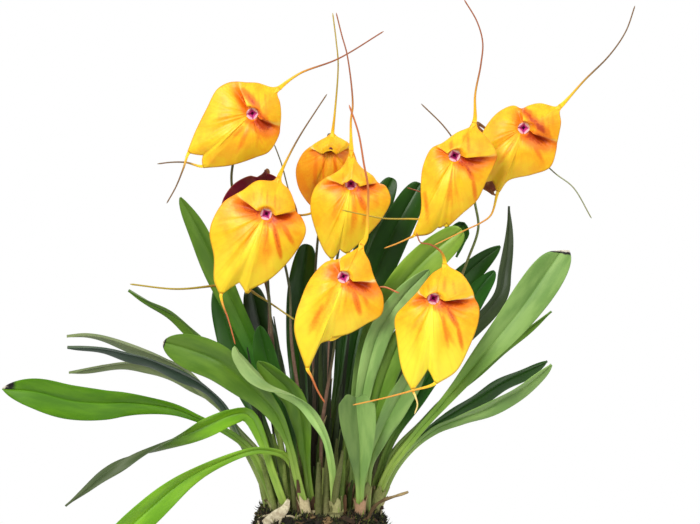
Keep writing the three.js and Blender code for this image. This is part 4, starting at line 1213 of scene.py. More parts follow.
@dataclass(frozen=True)
class StudioFinish(Finish):
    """The plain pale floor, which turns into the lit white backdrop away from the plant.

    Attributes:
        pale, white, black: the floor's colour, the backdrop's and none.
        near, far: where the floor starts and ends turning into backdrop, in metres from the middle.
        glow: how brightly the backdrop lights the plant, where the camera sees it at 1.
    """

    pale: Colour = (0.82, 0.82, 0.82, 1.0)
    white: Colour = (1.0, 1.0, 1.0, 1.0)
    black: Colour = (0.0, 0.0, 0.0, 1.0)
    near: float = 0.16
    far: float = 0.38
    glow: float = 0.35

    def paint(self, kit: NodeKit) -> dict[str, Any]:
        """Fades from a plain floor to a surface that shines by itself.

        Args:
            kit: the material's node kit.

        Returns:
            What feeds the shader.
        """
        away = kit.node("ShaderNodeVectorMath", {0: kit.place()}, operation="LENGTH").outputs["Value"]
        lit = kit.step(away, self.near, self.far)
        seen = kit.node("ShaderNodeLightPath").outputs["Is Camera Ray"]
        return {"Base Color": kit.blend(lit, self.pale, self.black), "Roughness": 1.0,
                "Specular IOR Level": 0.0, "Emission Color": kit.blend(lit, self.black, self.white),
                "Emission Strength": kit.plus(self.glow, kit.times(seen, 1 - self.glow))}


LEAF = LeafFinish("waxy_leaf", "leaf")
SEPAL = SepalFinish("flushed_sepal", "sepal")
LIP = TintedFinish("column_and_lip", "column", 0.42, 1800.0, 0.25, 0.00004)
SCAPE = TintedFinish("scape_skin", "stem", 0.5, 900.0, 0.45, 0.00012, fibre=0.55)
HUSK = TintedFinish("papery_sheath", "leaf", 0.75, 700.0, 0.32, 0.0002, fibre=0.6)
EARTH = TintedFinish("dark_medium", "moss_and_bark", 0.95, 420.0, 0.8, 0.0012)
MOSS = TintedFinish("moss", "moss_and_bark", 0.9, 500.0, 0.4, 0.0002)
WOOD = TintedFinish("bark_and_roots", "moss_and_bark", 0.88, 520.0, 0.65, 0.0005)
CLAY = ClayFinish("fired_clay", "pot_clay")
STUDIO = StudioFinish("studio_white", "")


def add_object(name: str, data: bpy.types.ID) -> bpy.types.Object:
    """A new object with that data, put into the scene.

    Args:
        name: its name.
        data: its mesh, light or camera.

    Returns:
        The object.
    """
    made = bpy.data.objects.new(name, data)
    bpy.context.scene.collection.objects.link(made)
    return made


class Mesher:
    """Turns shells into Blender pieces that ride on the plant."""

    BODY = "root"
    KINDS = {1: ("FLOAT", "value"), 3: ("FLOAT_VECTOR", "vector"), 4: ("FLOAT_COLOR", "color")}

    @classmethod
    def mesh(cls, name: str, shell: Shell) -> bpy.types.Mesh:
        """A Blender mesh, in metres, with its layers as point attributes.

        Args:
            name: the mesh's name.
            shell: its surface.

        Returns:
            The mesh, shaded smooth.
        """
        made = bpy.data.meshes.new(name)
        made.vertices.add(len(shell.points))
        made.vertices.foreach_set("co", (shell.points * MM).astype(np.float32).ravel())
        corners = np.concatenate([shell.quads.ravel(), shell.tris.ravel()]).astype(np.int32)
        sizes = np.concatenate([np.full(len(shell.quads), 4), np.full(len(shell.tris), 3)])
        made.loops.add(len(corners))
        made.loops.foreach_set("vertex_index", corners)
        made.polygons.add(len(sizes))
        made.polygons.foreach_set("loop_start", (np.cumsum(sizes) - sizes).astype(np.int32))
        made.update(calc_edges=True)
        made.validate()
        for label, rows in shell.layers.items():
            kind, key = cls.KINDS[rows.shape[-1]]
            layer = made.attributes.new(label, kind, "POINT")
            layer.data.foreach_set(key, rows.astype(np.float32).ravel())
        made.shade_smooth()
        return made

    @classmethod
    def piece(cls, name: str, shell: Shell, finish: Finish, *nodes: str,
              sharp: float = 0.0) -> bpy.types.Object:
        """A finished piece of the plant.

        Args:
            name: the piece's name.
            shell: its surface.
            finish: what it is dressed in.
            nodes: the solids that it stands for, if any.
            sharp: edges that turn by more than this many degrees stay sharp, or 0 for none.

        Returns:
            The object, riding on the body.
        """
        mesh = cls.mesh(name, shell)
        if sharp:
            mesh.set_sharp_from_angle(angle=math.radians(sharp))
        mesh.materials.append(finish.material())
        made = add_object(name, mesh)
        if nodes:
            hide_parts(*nodes)
        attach(made, cls.BODY)
        log.info("piece %s", name)
        return made


# ---- Leaves ----
@dataclass
class Leaf:
    """One leaf: a petiole and a folded strap blade.

    Attributes:
        group: the node that it is in.
        rib: its midrib.
        tone: its green.
        look: how its node is coloured.
        seed: which small waves its edge has.
        rings: rings along it.
        valley: how rounded the bottom of its fold is, as a share of half the blade.
        ripple: how far its edge waves.
        foot, neck, below: the colours of its foot, its petiole and its underside, as sRGB bytes.
    """

    group: LeafGroup
    rib: tuple[Point, ...]
    tone: Green
    look: LeafLook
    seed: int
    rings: int = 70
    valley: float = 0.16
    ripple: float = 0.55
    foot: Point = (162, 164, 100)
    neck: Point = (142, 164, 78)
    below: Point = (104, 112, 80)

    ACROSS = (0.0, 0.035, 0.09, 0.18, 0.32, 0.48, 0.64, 0.79, 0.9, 0.97, 1.0)
    CHANNEL_DEPTH, CHANNEL_WIDTH, KEEL_WIDTH, MIDLINE_WIDTH = (0.15, 0.42), 0.07, 0.16, 0.05
    BOW, WAVES = 0.05, (3.0, 5.5)

    def curve(self) -> SmoothCurve:
        """Its midrib, from under the moss to the tip."""
        return SmoothCurve([(*self.group.foot, FOOT_LEVEL), *self.rib])

    def half_width(self, s: Array) -> Array:
        """Half its width: a petiole that narrows, joined to u^widen * (1 - u)^taper over that curve's peak.

        Args:
            s: shares of its length. On the blade, u runs from 0 at the petiole's end to 1 at the tip.

        Returns:
            One half width for each share.
        """
        u = np.clip((s - PETIOLE_END) / (1 - PETIOLE_END), 0, 1)
        widen, taper = self.group.widen, self.group.taper
        peak = widen / (widen + taper)
        top = peak ** widen * (1 - peak) ** taper
        blade = self.group.width * u ** widen * (1 - u) ** taper / top
        petiole = mix(PETIOLE_WIDTH, self.group.tip, smooth(u))
        return (petiole ** 4 + blade ** 4) ** 0.25 / 2

    def frames(self, s: Array) -> tuple[Array, Array, Array]:
        """Middles, across and face directions at the shares s, the face tipped up by its rolls.

        Args:
            s: shares of its length.

        Returns:
            Three arrays of (len(s), 3).
        """
        curve = self.curve()
        middle, _, face = section_frames(curve, s, np.array([0.0, -1.0, 0.0]))
        along = curve.along(s)
        foot, half_way, tip = self.group.rolls
        roll = np.where(s < 0.5, mix(foot, half_way, smooth(2 * s)), mix(half_way, tip, smooth(2 * s - 1)))
        tip_up = 1.0 if self.rib[-1][0] < self.group.foot[0] else -1.0
        turn = np.radians(-tip_up * roll * smooth(s / 0.25))[:, None]
        face = face * np.cos(turn) + np.cross(along, face) * np.sin(turn)
        return middle, np.cross(along, face), face

    def shell(self) -> Shell:
        """Its closed surface.

        Across the blade at q from -1 to 1, both faces follow the fold, which is V-shaped with a rounded
        bottom. The upper face has a channel over the midrib and the lower face a keel under it. Both meet in
        a thin rounded edge, which waves a little. A curled tip folds up further, a notched one is drawn back
        along its midrib and at its corners, and a skewed one runs further on one side.

        Returns:
            The surface with its layers.
        """
        s = 1 - (1 - np.linspace(0, 1, self.rings)) ** 1.5
        middle, across, face = self.frames(s)
        s = s[:, None]
        half, thin = self.half_width(s), smooth((s - 0.1) / 0.4)
        fold = np.radians(mix(PETIOLE_FOLD, BLADE_FOLD + self.look.curl * smooth((s - 0.8) / 0.2), thin))
        edge = mix(PETIOLE_THICKNESS * 0.6, BLADE_THICKNESS, thin) / 2
        keel = mix(PETIOLE_THICKNESS, BLADE_RIB, thin) - edge
        q_half = np.array(self.ACROSS)
        upper = np.concatenate([-q_half[:0:-1], q_half])
        q = np.concatenate([upper, upper[-2:0:-1]])[None, :]
        top = np.concatenate([np.ones(len(upper)), -np.ones(len(upper) - 2)])[None, :]
        away = np.abs(q)
        deepest = math.hypot(1, self.valley) - self.valley
        vee = (np.sqrt(away ** 2 + self.valley ** 2) - self.valley) / deepest
        bow = self.BOW * half * thin * np.sin(np.pi * np.clip(away, 0, 1))
        wall = edge * np.sqrt(np.clip(1 - away ** 6, 0, 1))
        channel = mix(*self.CHANNEL_DEPTH, thin) * bump_at(q, 0, self.CHANNEL_WIDTH)
        drop = (keel - edge) * bump_at(q, 0, self.KEEL_WIDTH)
        draw = np.random.default_rng(self.seed)
        beats, phase = draw.uniform(*self.WAVES, 2), draw.uniform(0, 6.3, 2)
        side = (q > 0).astype(int)
        wave = self.ripple * thin * away ** 3 * np.sin(2 * np.pi * beats[side] * s + phase[side])
        x = q * half * np.cos(fold)
        z = vee * half * np.sin(fold) + bow + wave
        z = z + np.where(top > 0, wall - channel, -wall - drop)
        rings = middle[:, None] + across[:, None] * x[..., None] + face[:, None] * z[..., None]
        corners = (1 - away) ** 1.3 + 0.9 * away ** 5
        pull = self.group.notch * smooth((s - 0.9) / 0.1) * corners
        pull = pull - self.look.skew * q * smooth((s - 0.86) / 0.14)
        rings = rings - np.cross(face, across)[:, None] * pull[..., None]
        made = ring_solid(rings, self.layers(s, q, top, half))
        made.points[-1] = rings[-1, np.abs(q[0]) < 1e-9].mean(axis=0)
        return made

    def layers(self, s: Array, q: Array, top: Array, half: Array) -> Layers:
        """What its finish reads: place on the blade, underside, dead tip, and its own green from foot to tip,
        with painted shade on one half of the fold.

        Args:
            s: shares of its length, (n, 1).
            q: places across it, from -1 to 1, (1, m).
            top: 1 on the upper face and -1 on the lower one, (1, m).
            half: half its width, (n, 1).

        Returns:
            The layers, each stretching to (n, m).
        """
        look = self.look
        foot, neck, blade, outer, below = paints(self.foot, self.neck, self.tone.value,
                                                 (look.far or self.tone).value, self.below)
        grow = s[..., None]
        tint = mix(foot, mix(neck, blade, 0.25), smooth(grow / 0.12))
        tint = mix(mix(tint, blade, smooth((grow - 0.1) / 0.36)), outer, smooth((grow - 0.45) / 0.3))
        line = bump_at(q, 0, self.MIDLINE_WIDTH) * smooth((s - 0.25) / 0.2) * look.midline
        # look.shade paints the half left of the midrib darker, as painted shade on the fold; a value below 0
        # paints it lighter.
        tint = tint * (1 + line - look.shade * smooth(-q / 0.05) * smooth((s - 0.2) / 0.2))[..., None]
        under = (top < 0).astype(float)
        shade = (0.85 * under * smooth((s - 0.2) / 0.3))[..., None]
        tint = mix(tint, mix(below, outer, look.under + 0.25), shade)
        dead = 0 * s
        if look.dead:
            dead = np.clip((s - (1 - 1.6 * look.dead)) / (1.6 * look.dead), 0, 1)
        return {"across": q, "under": under, "dead": dead * (1 - look.spared * smooth(0.5 - 4 * q)),
                "chart": grid(q * half, s * self.curve().length, float(self.seed)), "tint": tint}


@dataclass
class Foliage:
    """All the leaves, node by node."""

    groups: Sequence[LeafGroup]

    def leaves(self) -> list[list[Leaf]]:
        """Each node's leaves, with a seed of their own.

        Returns:
            One list for each node, in the table's order.
        """
        found, seed = [], 0
        for group in self.groups:
            look, row = LEAF_LOOKS[group.name], []
            for i, rib in enumerate(group.ribs):
                row.append(Leaf(group, rib, look.tones[min(i, len(look.tones) - 1)], look, seed))
                seed += 1
            found.append(row)
        return found

    def build(self) -> None:
        """Makes a piece for each node."""
        for row in self.leaves():
            node = row[0].group.name
            Mesher.piece(node.replace("leaf_", "strap_"), join([leaf.shell() for leaf in row]), LEAF, node)


# ---- Blooms ----
@dataclass
class Flower:
    """One bloom: joined sepals with a hooded mouth, three tails, and the column and lip inside.

    Attributes:
        bloom: what the solids say of it.
        seed: which small waves its rim has.
    """

    bloom: Bloom
    seed: int

    SPIKE, UNDER_HOOD = 14.0, 90.0
    POCKET_AT, POCKET_WIDTH, POCKET_DEPTH = 97.0, 8.0, 1.6
    KEEL_WIDTH, KEEL_HEIGHT, GROOVE_DEPTH = 7.0, 0.6, 0.55
    DRAWN_AT, DRAWN_WIDTH, DRAWN_BY = 81.0, 6.0, 1.1
    HANG_AT, HANG_WIDTH, HANG_END = 0.17, 0.13, 92.0
    GLINT_AT, GLINT_WIDTH = 84.5, 2.2
    RIPPLE, EDGE_THINNING = 0.45, 0.55
    # FLUSH_FADE: how far the flush under the hood's edges, partly painted shade, reaches below them, left and
    # right.
    FLUSH_FADE, GROOVE_FLUSH, STRIP_WIDTH = (5.0, 7.0), (0.26, 0.36), 15.0
    STOUT, STRAP_FLARE, STRAP_RUN = 1.3, (0.8, 0.4), 5.0
    THROAT = ((THROAT_RADIUS, -CUP_DEPTH), (2.55, -5.4), (2.8, -3.4), (3.02, -1.3), (MOUTH_RADIUS, 0.0))
    CUP = ((MOUTH_RADIUS + CUP_WALL, -CUP_WALL), (3.75, -3.2), (3.4, -5.6),
           (CUP_END, -CUP_DEPTH - CUP_WALL * 0.6), (1.6, -CUP_DEPTH - CUP_WALL))
    BRONZED = ("back_right",)
    PALE_STEMS = ("far_right",)
    STOUT_TAILS = ("back_left", "lower_centre")
    TONGUE = ((0.25, -6.65), (0.25, -4.6), (0.34, -2.7), (0.62, -1.3), (0.98, -0.3), (1.2, 0.75))
    COLUMN, LEFT_PETAL, RIGHT_PETAL, LIP_END = (0.0, 2.6), (-2.4, 0.1), (2.4, 0.1), (0.0, -2.5)
    TONGUE_HALF, MAGENTA_FROM, PALE_FROM, LEAN_SHARE = 0.3, 0.7, 1.85, 0.8
    KNOB, KNOB_RADIUS = ((0, 0.2, -CUP_DEPTH + 0.3), (0, 0.1, -4.6), (0, 0.0, -2.6)), 0.8
    RIDGES, RIDGE_DEPTH, SLIMMER = 6, 0.1, 0.3
    BRACT_AT, BRACT_LENGTHS, BRACT_ROOM, BRACT_FLARE, BRACT_WALL = 0.34, (11.0, 9.0), 0.16, 0.75, 0.14
    PURPLE, MAGENTA, PINK, CREAM = (96, 8, 62), (206, 64, 146), (250, 200, 212), (252, 226, 208)
    STEM_GREEN, STEM_PURPLE = (136, 150, 74), (128, 98, 80)
    STEM_OLIVE, STEM_PALE = (104, 110, 70), (150, 168, 96)
    BRACT_GREEN, BRACT_TAN = (126, 128, 70), (184, 166, 118)

    @property
    def marks(self) -> Marks:
        """How it is marked."""
        return MARKS.get(self.bloom.name, PLAIN_MARKS)

    def frame(self) -> Array:
        """Its own frame as a 4 x 4 matrix: x to its right, y up, z out of its face.

        Returns:
            The matrix from its own frame to the part's, in millimetres.
        """
        made = Matrix(((1, 0, 0), (0, 0, -1), (0, 1, 0))).to_4x4()
        if self.bloom.away:
            made = made @ Matrix.Rotation(math.pi, 4, "Y")
        made = made @ Matrix.Rotation(math.radians(self.bloom.nod), 4, "X")
        made.translation = Vector(self.bloom.mouth)
        return np.array(made)

    def placed(self, points: Any) -> Array:
        """Points of its own frame, in the part's frame."""
        matrix = self.frame()
        return np.asarray(points, float) @ matrix[:3, :3].T + matrix[:3, 3]

    def own(self, points: Any) -> Array:
        """Points of the part's frame, in its own frame."""
        matrix = self.frame()
        return (np.asarray(points, float) - matrix[:3, 3]) @ matrix[:3, :3]

    def outline(self) -> tuple[Array, Array]:
        """The rim as four smooth curves between the three tips and the notch.

        At a tip they stop TAIL_ROOT short of it on either side, where the tail's edges will be, so the tips
        stay pointed.

        Returns:
            The rim's points (to its right and up) and their stations, from -180 to 180.
        """
        bloom = self.bloom
        stations, rim = np.array(STATIONS, float), np.array(bloom.rim, float)
        notch, right, left = (int(np.argmax(stations == at)) for at in (180, 171, -171))
        starts = {0: bloom.top, right: bloom.lobe_right, left: bloom.lobe_left}
        chains = (range(notch, left + 1), [*range(left, len(stations)), 0], range(right + 1),
                  range(right, notch + 1))
        points, places = [], []
        for chain in map(list, chains):
            path = np.column_stack([rim[chain], np.zeros(len(chain))])
            where = stations[chain]
            if chain[0] == notch:
                where[0] = -180.0
            for end, way in ((0, 1.0), (-1, -1.0)):
                tip = chain[end]
                if tip in starts:
                    outward = unit(unit(rim[tip]) + unit(self.own(starts[tip][0])[:2] - rim[tip]))
                    path[end, :2] += way * 0.9 * TAIL_ROOT * np.array([outward[1], -outward[0]])
                    where[end] += way * 0.5
            points.append(SmoothCurve(path).points[:, :2])
            knots = np.arange(len(chain)) * SmoothCurve.SAMPLES
            places.append(np.interp(np.arange(knots[-1] + 1), knots, where))
        return np.vstack(points), np.concatenate(places)

    def dome(self, station: Array, reach: Array) -> Array:
        """The rim's reach without the spike of the dorsal tip, so the hood under it stays a smooth dome.

        Args:
            station: degrees round the mouth from the top.
            reach: how far out the rim is at them.

        Returns:
            The reach, bridged within SPIKE degrees of the top.
        """
        order = np.argsort(station)
        low, high = (np.interp(at, station[order], reach[order]) for at in (-self.SPIKE, self.SPIKE))
        bridge = mix(low, high, smooth((station + self.SPIKE) / (2 * self.SPIKE)))
        return np.where(np.abs(station) < self.SPIKE, np.minimum(reach, bridge), reach)

    @staticmethod
    def depth(away: Array, t: Array) -> Array:
        """How far the sepals stand out of the mouth's plane.

        Above, the dorsal sepal is a hood: it rises steeply to its edge and falls back. Below, the joined side
        sepals bulge and curl back, with a furrow on each side of the middle. The hood fades out between
        HOOD_END's angles.

        Args:
            away: degrees from the top of the mouth.
            t: the share of the way out from the mouth.

        Returns:
            The height at each of them.
        """
        rise = np.clip(t / HOOD_EDGE, 0, 1)
        fall = np.clip((t - HOOD_EDGE) / (1 - HOOD_EDGE), 0, 1)
        hood = HOOD_RISE * (1 - (1 - rise) ** 2) - HOOD_BACK * fall ** 1.3
        below = np.clip((away - HOOD_END[1]) / 60, 0, 1)
        furrow = FURROW * bump_at(180 - away, 18, 7) * np.sin(np.pi * np.clip(t, 0, 1))
        apron = (APRON_BULGE * below * np.sin(np.pi * np.clip(t, 0, 1) ** 0.75)
                 - mix(SIDE_BACK, LOBE_BACK, below) * t * t - furrow)
        return mix(apron, hood, 1 - smooth((away - HOOD_END[0]) / (HOOD_END[1] - HOOD_END[0])))

    def streak(self, station: Array, t: Array) -> Array:
        """How deep in a groove each point of the joined sepals lies, from 0 to 1.

        The grooves are uneven streaks that run out from the mouth and die away before the rim.

        Args:
            station: bearings round the mouth, in degrees.
            t: shares of the way out from the mouth.

        Returns:
            The grooves' strength.
        """
        bent = station + 7.0 * np.sin(2.2 * t + self.seed) * t
        ray = np.stack([bent, 0 * bent + 70.0 * self.seed, 0 * bent], axis=-1)
        groove = np.clip(0.9 * wander(ray, self.seed, 24.0) + 0.55 * wander(ray, self.seed + 5, 9.0), 0, 1)
        over_front = smooth((np.abs(station) - 90) / 14)
        return groove * smooth(t / 0.14) * (1 - smooth((t - 0.45) / 0.5)) * over_front

    def relief(self, station: Array, t: Array) -> Array:
        """Finer folds over depth: pockets beside the mouth, a keel below it, and its streaks' grooves.

        Args:
            station: bearings round the mouth, in degrees.
            t: shares of the way out from the mouth.

        Returns:
            How far each point stands out, in millimetres.
        """
        away, t = np.abs(station), np.clip(t, 0, 1)
        left, right = self.marks.pockets
        deep = self.POCKET_DEPTH * np.where(station > 0, right, left)
        along = np.sin(np.pi * np.clip(t / 0.85, 0, 1)) ** 1.2
        pocket = -deep * bump_at(away, self.POCKET_AT, self.POCKET_WIDTH) * along
        keel = self.KEEL_HEIGHT * bump_at(180 - away, 0, self.KEEL_WIDTH) * np.sin(np.pi * t)
        return pocket + keel - self.GROOVE_DEPTH * self.streak(station, t)

    def surface(self, rim: Array, station: Array, t: Array, sink: Array) -> Array:
        """Points of the front (sink 0) or back (sink 1), in its own frame.

        From the mouth to the rim's point they run straight out, seen from the front, and stand out of the
        mouth's plane by depth and relief. The hood's side edges are drawn over the pockets beside the mouth,
        and its lower edge hangs over the mouth.

        Args:
            rim: the rim's points, (n, 2).
            station: their stations, (n,).
            t: the share of the way out from the mouth, (m, 1).
            sink: how deep in the sepal's thickness, (m, 1).

        Returns:
            The points, (m, n, 3).
        """
        away, step, side = np.abs(station), 0.02, np.sign(station)
        reach = np.maximum(np.hypot(rim[:, 0], rim[:, 1]), 1e-6)
        ray = rim / reach[:, None]
        arc = self.dome(station, reach) - MOUTH_RADIUS
        u = t * (reach - MOUTH_RADIUS) / arc
        low = np.maximum(0, u - step)
        slope = (self.depth(away, u + step) - self.depth(away, low)) / (arc * (u + step - low))
        length = np.hypot(1, slope)
        wall = SEPAL_THICKNESS * sink * (1 - self.EDGE_THINNING * smooth((t - 0.8) / 0.2))
        r = mix(MOUTH_RADIUS, reach, t) + wall * slope / length
        drawn = self.DRAWN_BY * side * bump_at(away, self.DRAWN_AT, self.DRAWN_WIDTH)
        drawn = drawn * smooth(t / 0.15) * smooth((1 - t) / 0.25)
        hang = self.marks.cover * bump_at(t, self.HANG_AT, self.HANG_WIDTH)
        hang = hang * smooth((self.HANG_END - away) / 50)
        wave = self.RIPPLE * t ** 4 * wander(grid(station / 16, self.seed * 7.3, 0 * t), self.seed, 6.0)
        return np.stack([r * ray[:, 0] + drawn * ray[:, 1], r * ray[:, 1] - drawn * ray[:, 0] - hang,
                         self.depth(away, u) + self.relief(station, t) + wave - wall / length], axis=-1)

    def limb(self) -> Shell:
        """The sepals in one closed surface: up the throat, out along the front, back along the rear.

        Returns:
            The surface with its layers.
        """
        spans = ((0.5, 12, 11), (12, 70, 20), (70, 106, 28), (106, 150, 24))
        half = np.concatenate([[0.0], *(np.linspace(*span, endpoint=False) for span in spans),
                               np.linspace(150, 170.5, 14), np.linspace(171.5, 180, 9)])
        station = np.concatenate([half, -half[-2:0:-1]])
        points, places = self.outline()
        rim = np.stack([np.interp(station, places, points[:, axis]) for axis in range(2)], axis=-1)
        ray = unit(rim)

        def flat(*radii_and_heights: tuple[float, float]) -> Array:
            """Plain rings of those radii at those heights."""
            r, z = np.array(radii_and_heights).T[..., None]
            return grid(r * ray[:, 0], r * ray[:, 1], z)

        front_t = (np.linspace(0.012, 1, 46) ** 1.25)[:, None]
        back_t = (np.linspace(1, 0.03, 26) ** 1.1)[:, None]
        throat, cup = flat(*self.THROAT), flat(*self.CUP)
        front = self.surface(rim, station, front_t, 0.0 * front_t)
        rear = self.surface(rim, station, back_t, 0.0 * back_t + 1.0)
        rings = np.concatenate([throat, front, rear, cup])
        t = np.concatenate([np.zeros((len(throat), 1)), front_t, back_t, np.zeros((len(cup), 1))])
        row = np.arange(len(rings))[:, None]
        back = (row >= len(throat) + len(front)).astype(float)
        deep = np.where(row < len(throat), mix(1.0, 0.1, row / (len(throat) - 1)), 0.0)
        flush, lemon = self.masks(rings, station, t)
        # Painted highlight: a pale line along the hood's edge, set by the glint mark.
        glint_highlight = self.marks.glint * bump_at(np.abs(station), self.GLINT_AT, self.GLINT_WIDTH)
        layers = {
            "reach": t, "bearing": np.abs(station), "flush": flush, "lemon": lemon, "back": back,
            "throat": deep, "bronzed": self.bronzed(rings), "tail": 0.0, "tint": np.ones(4),
            "glint": glint_highlight * smooth(t / 0.2) * smooth((1.02 - t) / 0.1),
        }
        return ring_solid(self.placed(rings), layers)

    def masks(self, points: Array, station: Array, t: Array) -> tuple[Array, Array]:
        """Where the sepals are flushed and where they are lemon.

        The flush is deepest close under the hood's side edges and fades with the distance below them, further
        on the right: partly the petals' own red and partly painted shade under the hood's overhang. Over it
        lie the bloom's own streaks, each fading with the distance from its line, and soft streaks up the
        hood.
        Lemon is a strip down the middle of the joined sepals and their lower ends.

        Args:
            points: the points in its own frame, (m, n, 3).
            station: their stations, (n,).
            t: the share of the way out from the mouth, (m, 1).

        Returns:
            The flush and the lemon, from 0 to about 1, each (m, n).
        """
        marks = self.marks
        here, away, right = points[..., :2], np.abs(station), station > 0
        below = (away - self.UNDER_HOOD) * math.pi / 180 * np.hypot(here[..., 0], here[..., 1])
        wide, pocket, groove = (np.where(right, high, low) for low, high in
                                (self.FLUSH_FADE, marks.pockets, self.GROOVE_FLUSH))
        # Painted shade under the hood's side edges, together with the petals' own red: strongest at the
        # edges, falling off below them.
        flush_and_shade_falloff = np.exp(-((np.maximum(below, 0) / wide) ** 2)) * smooth((away - self.UNDER_HOOD + 6) / 4)
        flush = pocket * flush_and_shade_falloff * (0.5 + 0.5 * smooth(t / 0.06)) * (1 - 0.6 * smooth((t - 0.35) / 0.6))
        flush = np.maximum(flush, groove * self.streak(station, t))
        flush = np.maximum(flush, marks.warmth * smooth((away - 84) / 12))
        for x0, y0, x1, y1, width, strength in marks.strokes:
            start, way = np.array([x0, y0]), np.array([x1 - x0, y1 - y0])
            share = np.clip((here - start) @ way / (way @ way), 0, 1)
            gap = np.linalg.norm(here - start - share[..., None] * way, axis=-1)
            ends = 1 - 0.38 * np.abs(2 * share - 0.8) ** 2
            flush = np.maximum(flush, 0.95 * strength ** 1.25 * ends * np.exp(-((gap / (0.85 * width)) ** 2)))
        hood = smooth((80 - away) / 14) * smooth((t - 0.1) / 0.2) * smooth((0.98 - t) / 0.4)
        streaks = np.stack([here[..., 0], 0.15 * here[..., 1], 0 * here[..., 0] + 9.0 * self.seed], axis=-1)
        flush = flush + (0.14 + 0.2 * wander(streaks, self.seed, 3.4)) * hood
        down = 180 - away
        lemon = np.maximum(bump_at(down, 0, self.STRIP_WIDTH) * smooth(t / 0.1),
                           0.85 * smooth((t - 0.35) / 0.45) * smooth((62 - down) / 40))
        return np.clip(flush, 0, 1.15), np.clip(marks.lemon * lemon - marks.warmth * smooth(t), 0, 1)

    def bronzed(self, points: Array) -> Array:
        """How far the back is bronze and not maroon: cloudy, and nearly all on the blooms in BRONZED."""
        share = 0.85 if self.bloom.name in self.BRONZED else 0.2
        return np.clip(share + 0.4 * wander(points, self.seed, 12.0), 0, 1)

    def tails(self) -> list[Shell]:
        """The three tails: each starts inside the sepal's tip as a thin strap, then becomes a thread.

        Returns:
            One surface for each tail.
        """
        bloom, made = self.bloom, []
        stout = self.STOUT if bloom.name in self.STOUT_TAILS else 1.0
        ends = ((0, bloom.top), (-171, bloom.lobe_left), (171, bloom.lobe_right))
        for (station, points), tone in zip(ends, TAIL_LOOKS[bloom.name]):
            rim = np.array([bloom.rim[STATIONS.index(at)] for at in (-10, station, 10)], float)
            shares = np.array([[1 - TAIL_INSET / np.hypot(*rim[1])], [1.0]])
            around = np.array([-self.SPIKE, float(station), self.SPIKE])
            seats = self.placed(self.surface(rim, around, shares, 0 * shares + 0.6))[:, 1]
            curve = SmoothCurve([*seats, *points])
            s = np.linspace(0, 1, max(16, int(curve.length / 1.2))) ** 1.15
            start = TAIL_INSET / curve.length
            size = mix(TAIL_TIP, 0.98, (1 - s) ** TAIL_THINNING) * stout
            size[-1] = TAIL_TIP * 0.4
            past = s * curve.length - TAIL_INSET + 1.5
            flare = self.STRAP_FLARE[station != 0] * np.exp(-np.maximum(past, 0) / self.STRAP_RUN)
            wide = mix(0.2, 0.82 * size + flare, smooth(s / start))
            thick = mix(0.12, 0.78 * size, smooth((s - 0.85 * start) / (1.8 * start)))
            layers = {
                "reach": 0.6, "bearing": abs(station), "flush": (0.2 * smooth(s * 3))[:, None], "lemon": 0.3,
                "back": float(bloom.away), "throat": 0.0, "bronzed": 1.0, "glint": 0.0,
                "tail": np.clip((s - start) / (1 - start), 0, 1)[:, None], "tint": paints(tone.value)[0],
            }
            made.append(rod(curve, s, wide, thick, self.frame()[:3, 2], 12, layers))
        return made

    def heart(self) -> Shell:
        """The column over the lip between two petals, all in the mouth: a pale squarish ring, dark inside.

        Each is a small tongue: a flat rod that bends outwards as it rises (TONGUE, its distance from the
        middle against its height) and widens with that distance, so that the four meet in a funnel. It is
        dark purple deep down, then magenta, and pale at its end. The ring is turned the way that the dorsal
        tip leans.

        Returns:
            The four tongues and a knob at the bottom, in one mesh.
        """
        lean = self.LEAN_SHARE * math.atan2(*self.bloom.rim[0])
        c, r = math.cos(lean), math.sin(lean)
        turned = np.array([[c, -r, 0], [r, c, 0], [0, 0, 1]])
        purple, magenta, pink, cream = paints(self.PURPLE, self.MAGENTA, self.PINK, self.CREAM)
        path = np.array(self.TONGUE)
        path[3:, 1] -= 0.25 * self.marks.cover ** 2
        tongues, s = [], np.linspace(0, 1, 22)
        ends = ((self.COLUMN, cream), (self.LEFT_PETAL, pink), (self.RIGHT_PETAL, pink), (self.LIP_END, pink))
        for (x, y), pale in ends:
            points = np.column_stack([path[:, 0] * x, path[:, 0] * y, path[:, 1]])
            curve = SmoothCurve(self.placed(points @ turned))
            outward = self.frame()[:3, :3] @ (np.array([x, y, 0.0]) @ turned)
            far = np.hypot(*(self.own(curve.at(s))[:, :2]).T)
            wide = (1.02 * far + 0.1) * np.sqrt(np.clip(1.02 - s ** 8, 0, 1))
            tint = mix(purple, magenta, smooth((far - self.MAGENTA_FROM) / 0.5)[:, None, None])
            tint = mix(tint, pale, smooth((far - self.PALE_FROM) / 0.5)[:, None, None])
            thick = self.TONGUE_HALF + 0 * wide
            tongues.append(rod(curve, s, wide, thick, unit(outward), 16, {"tint": tint}))
        knob, s = SmoothCurve(self.placed(self.KNOB)), np.linspace(0, 1, 10)
        size = self.KNOB_RADIUS * (1 - 0.5 * s)
        tongues.append(rod(knob, s, size, size, unit(self.frame()[:3, 1]), 12, {"tint": purple}))
        return join(tongues)

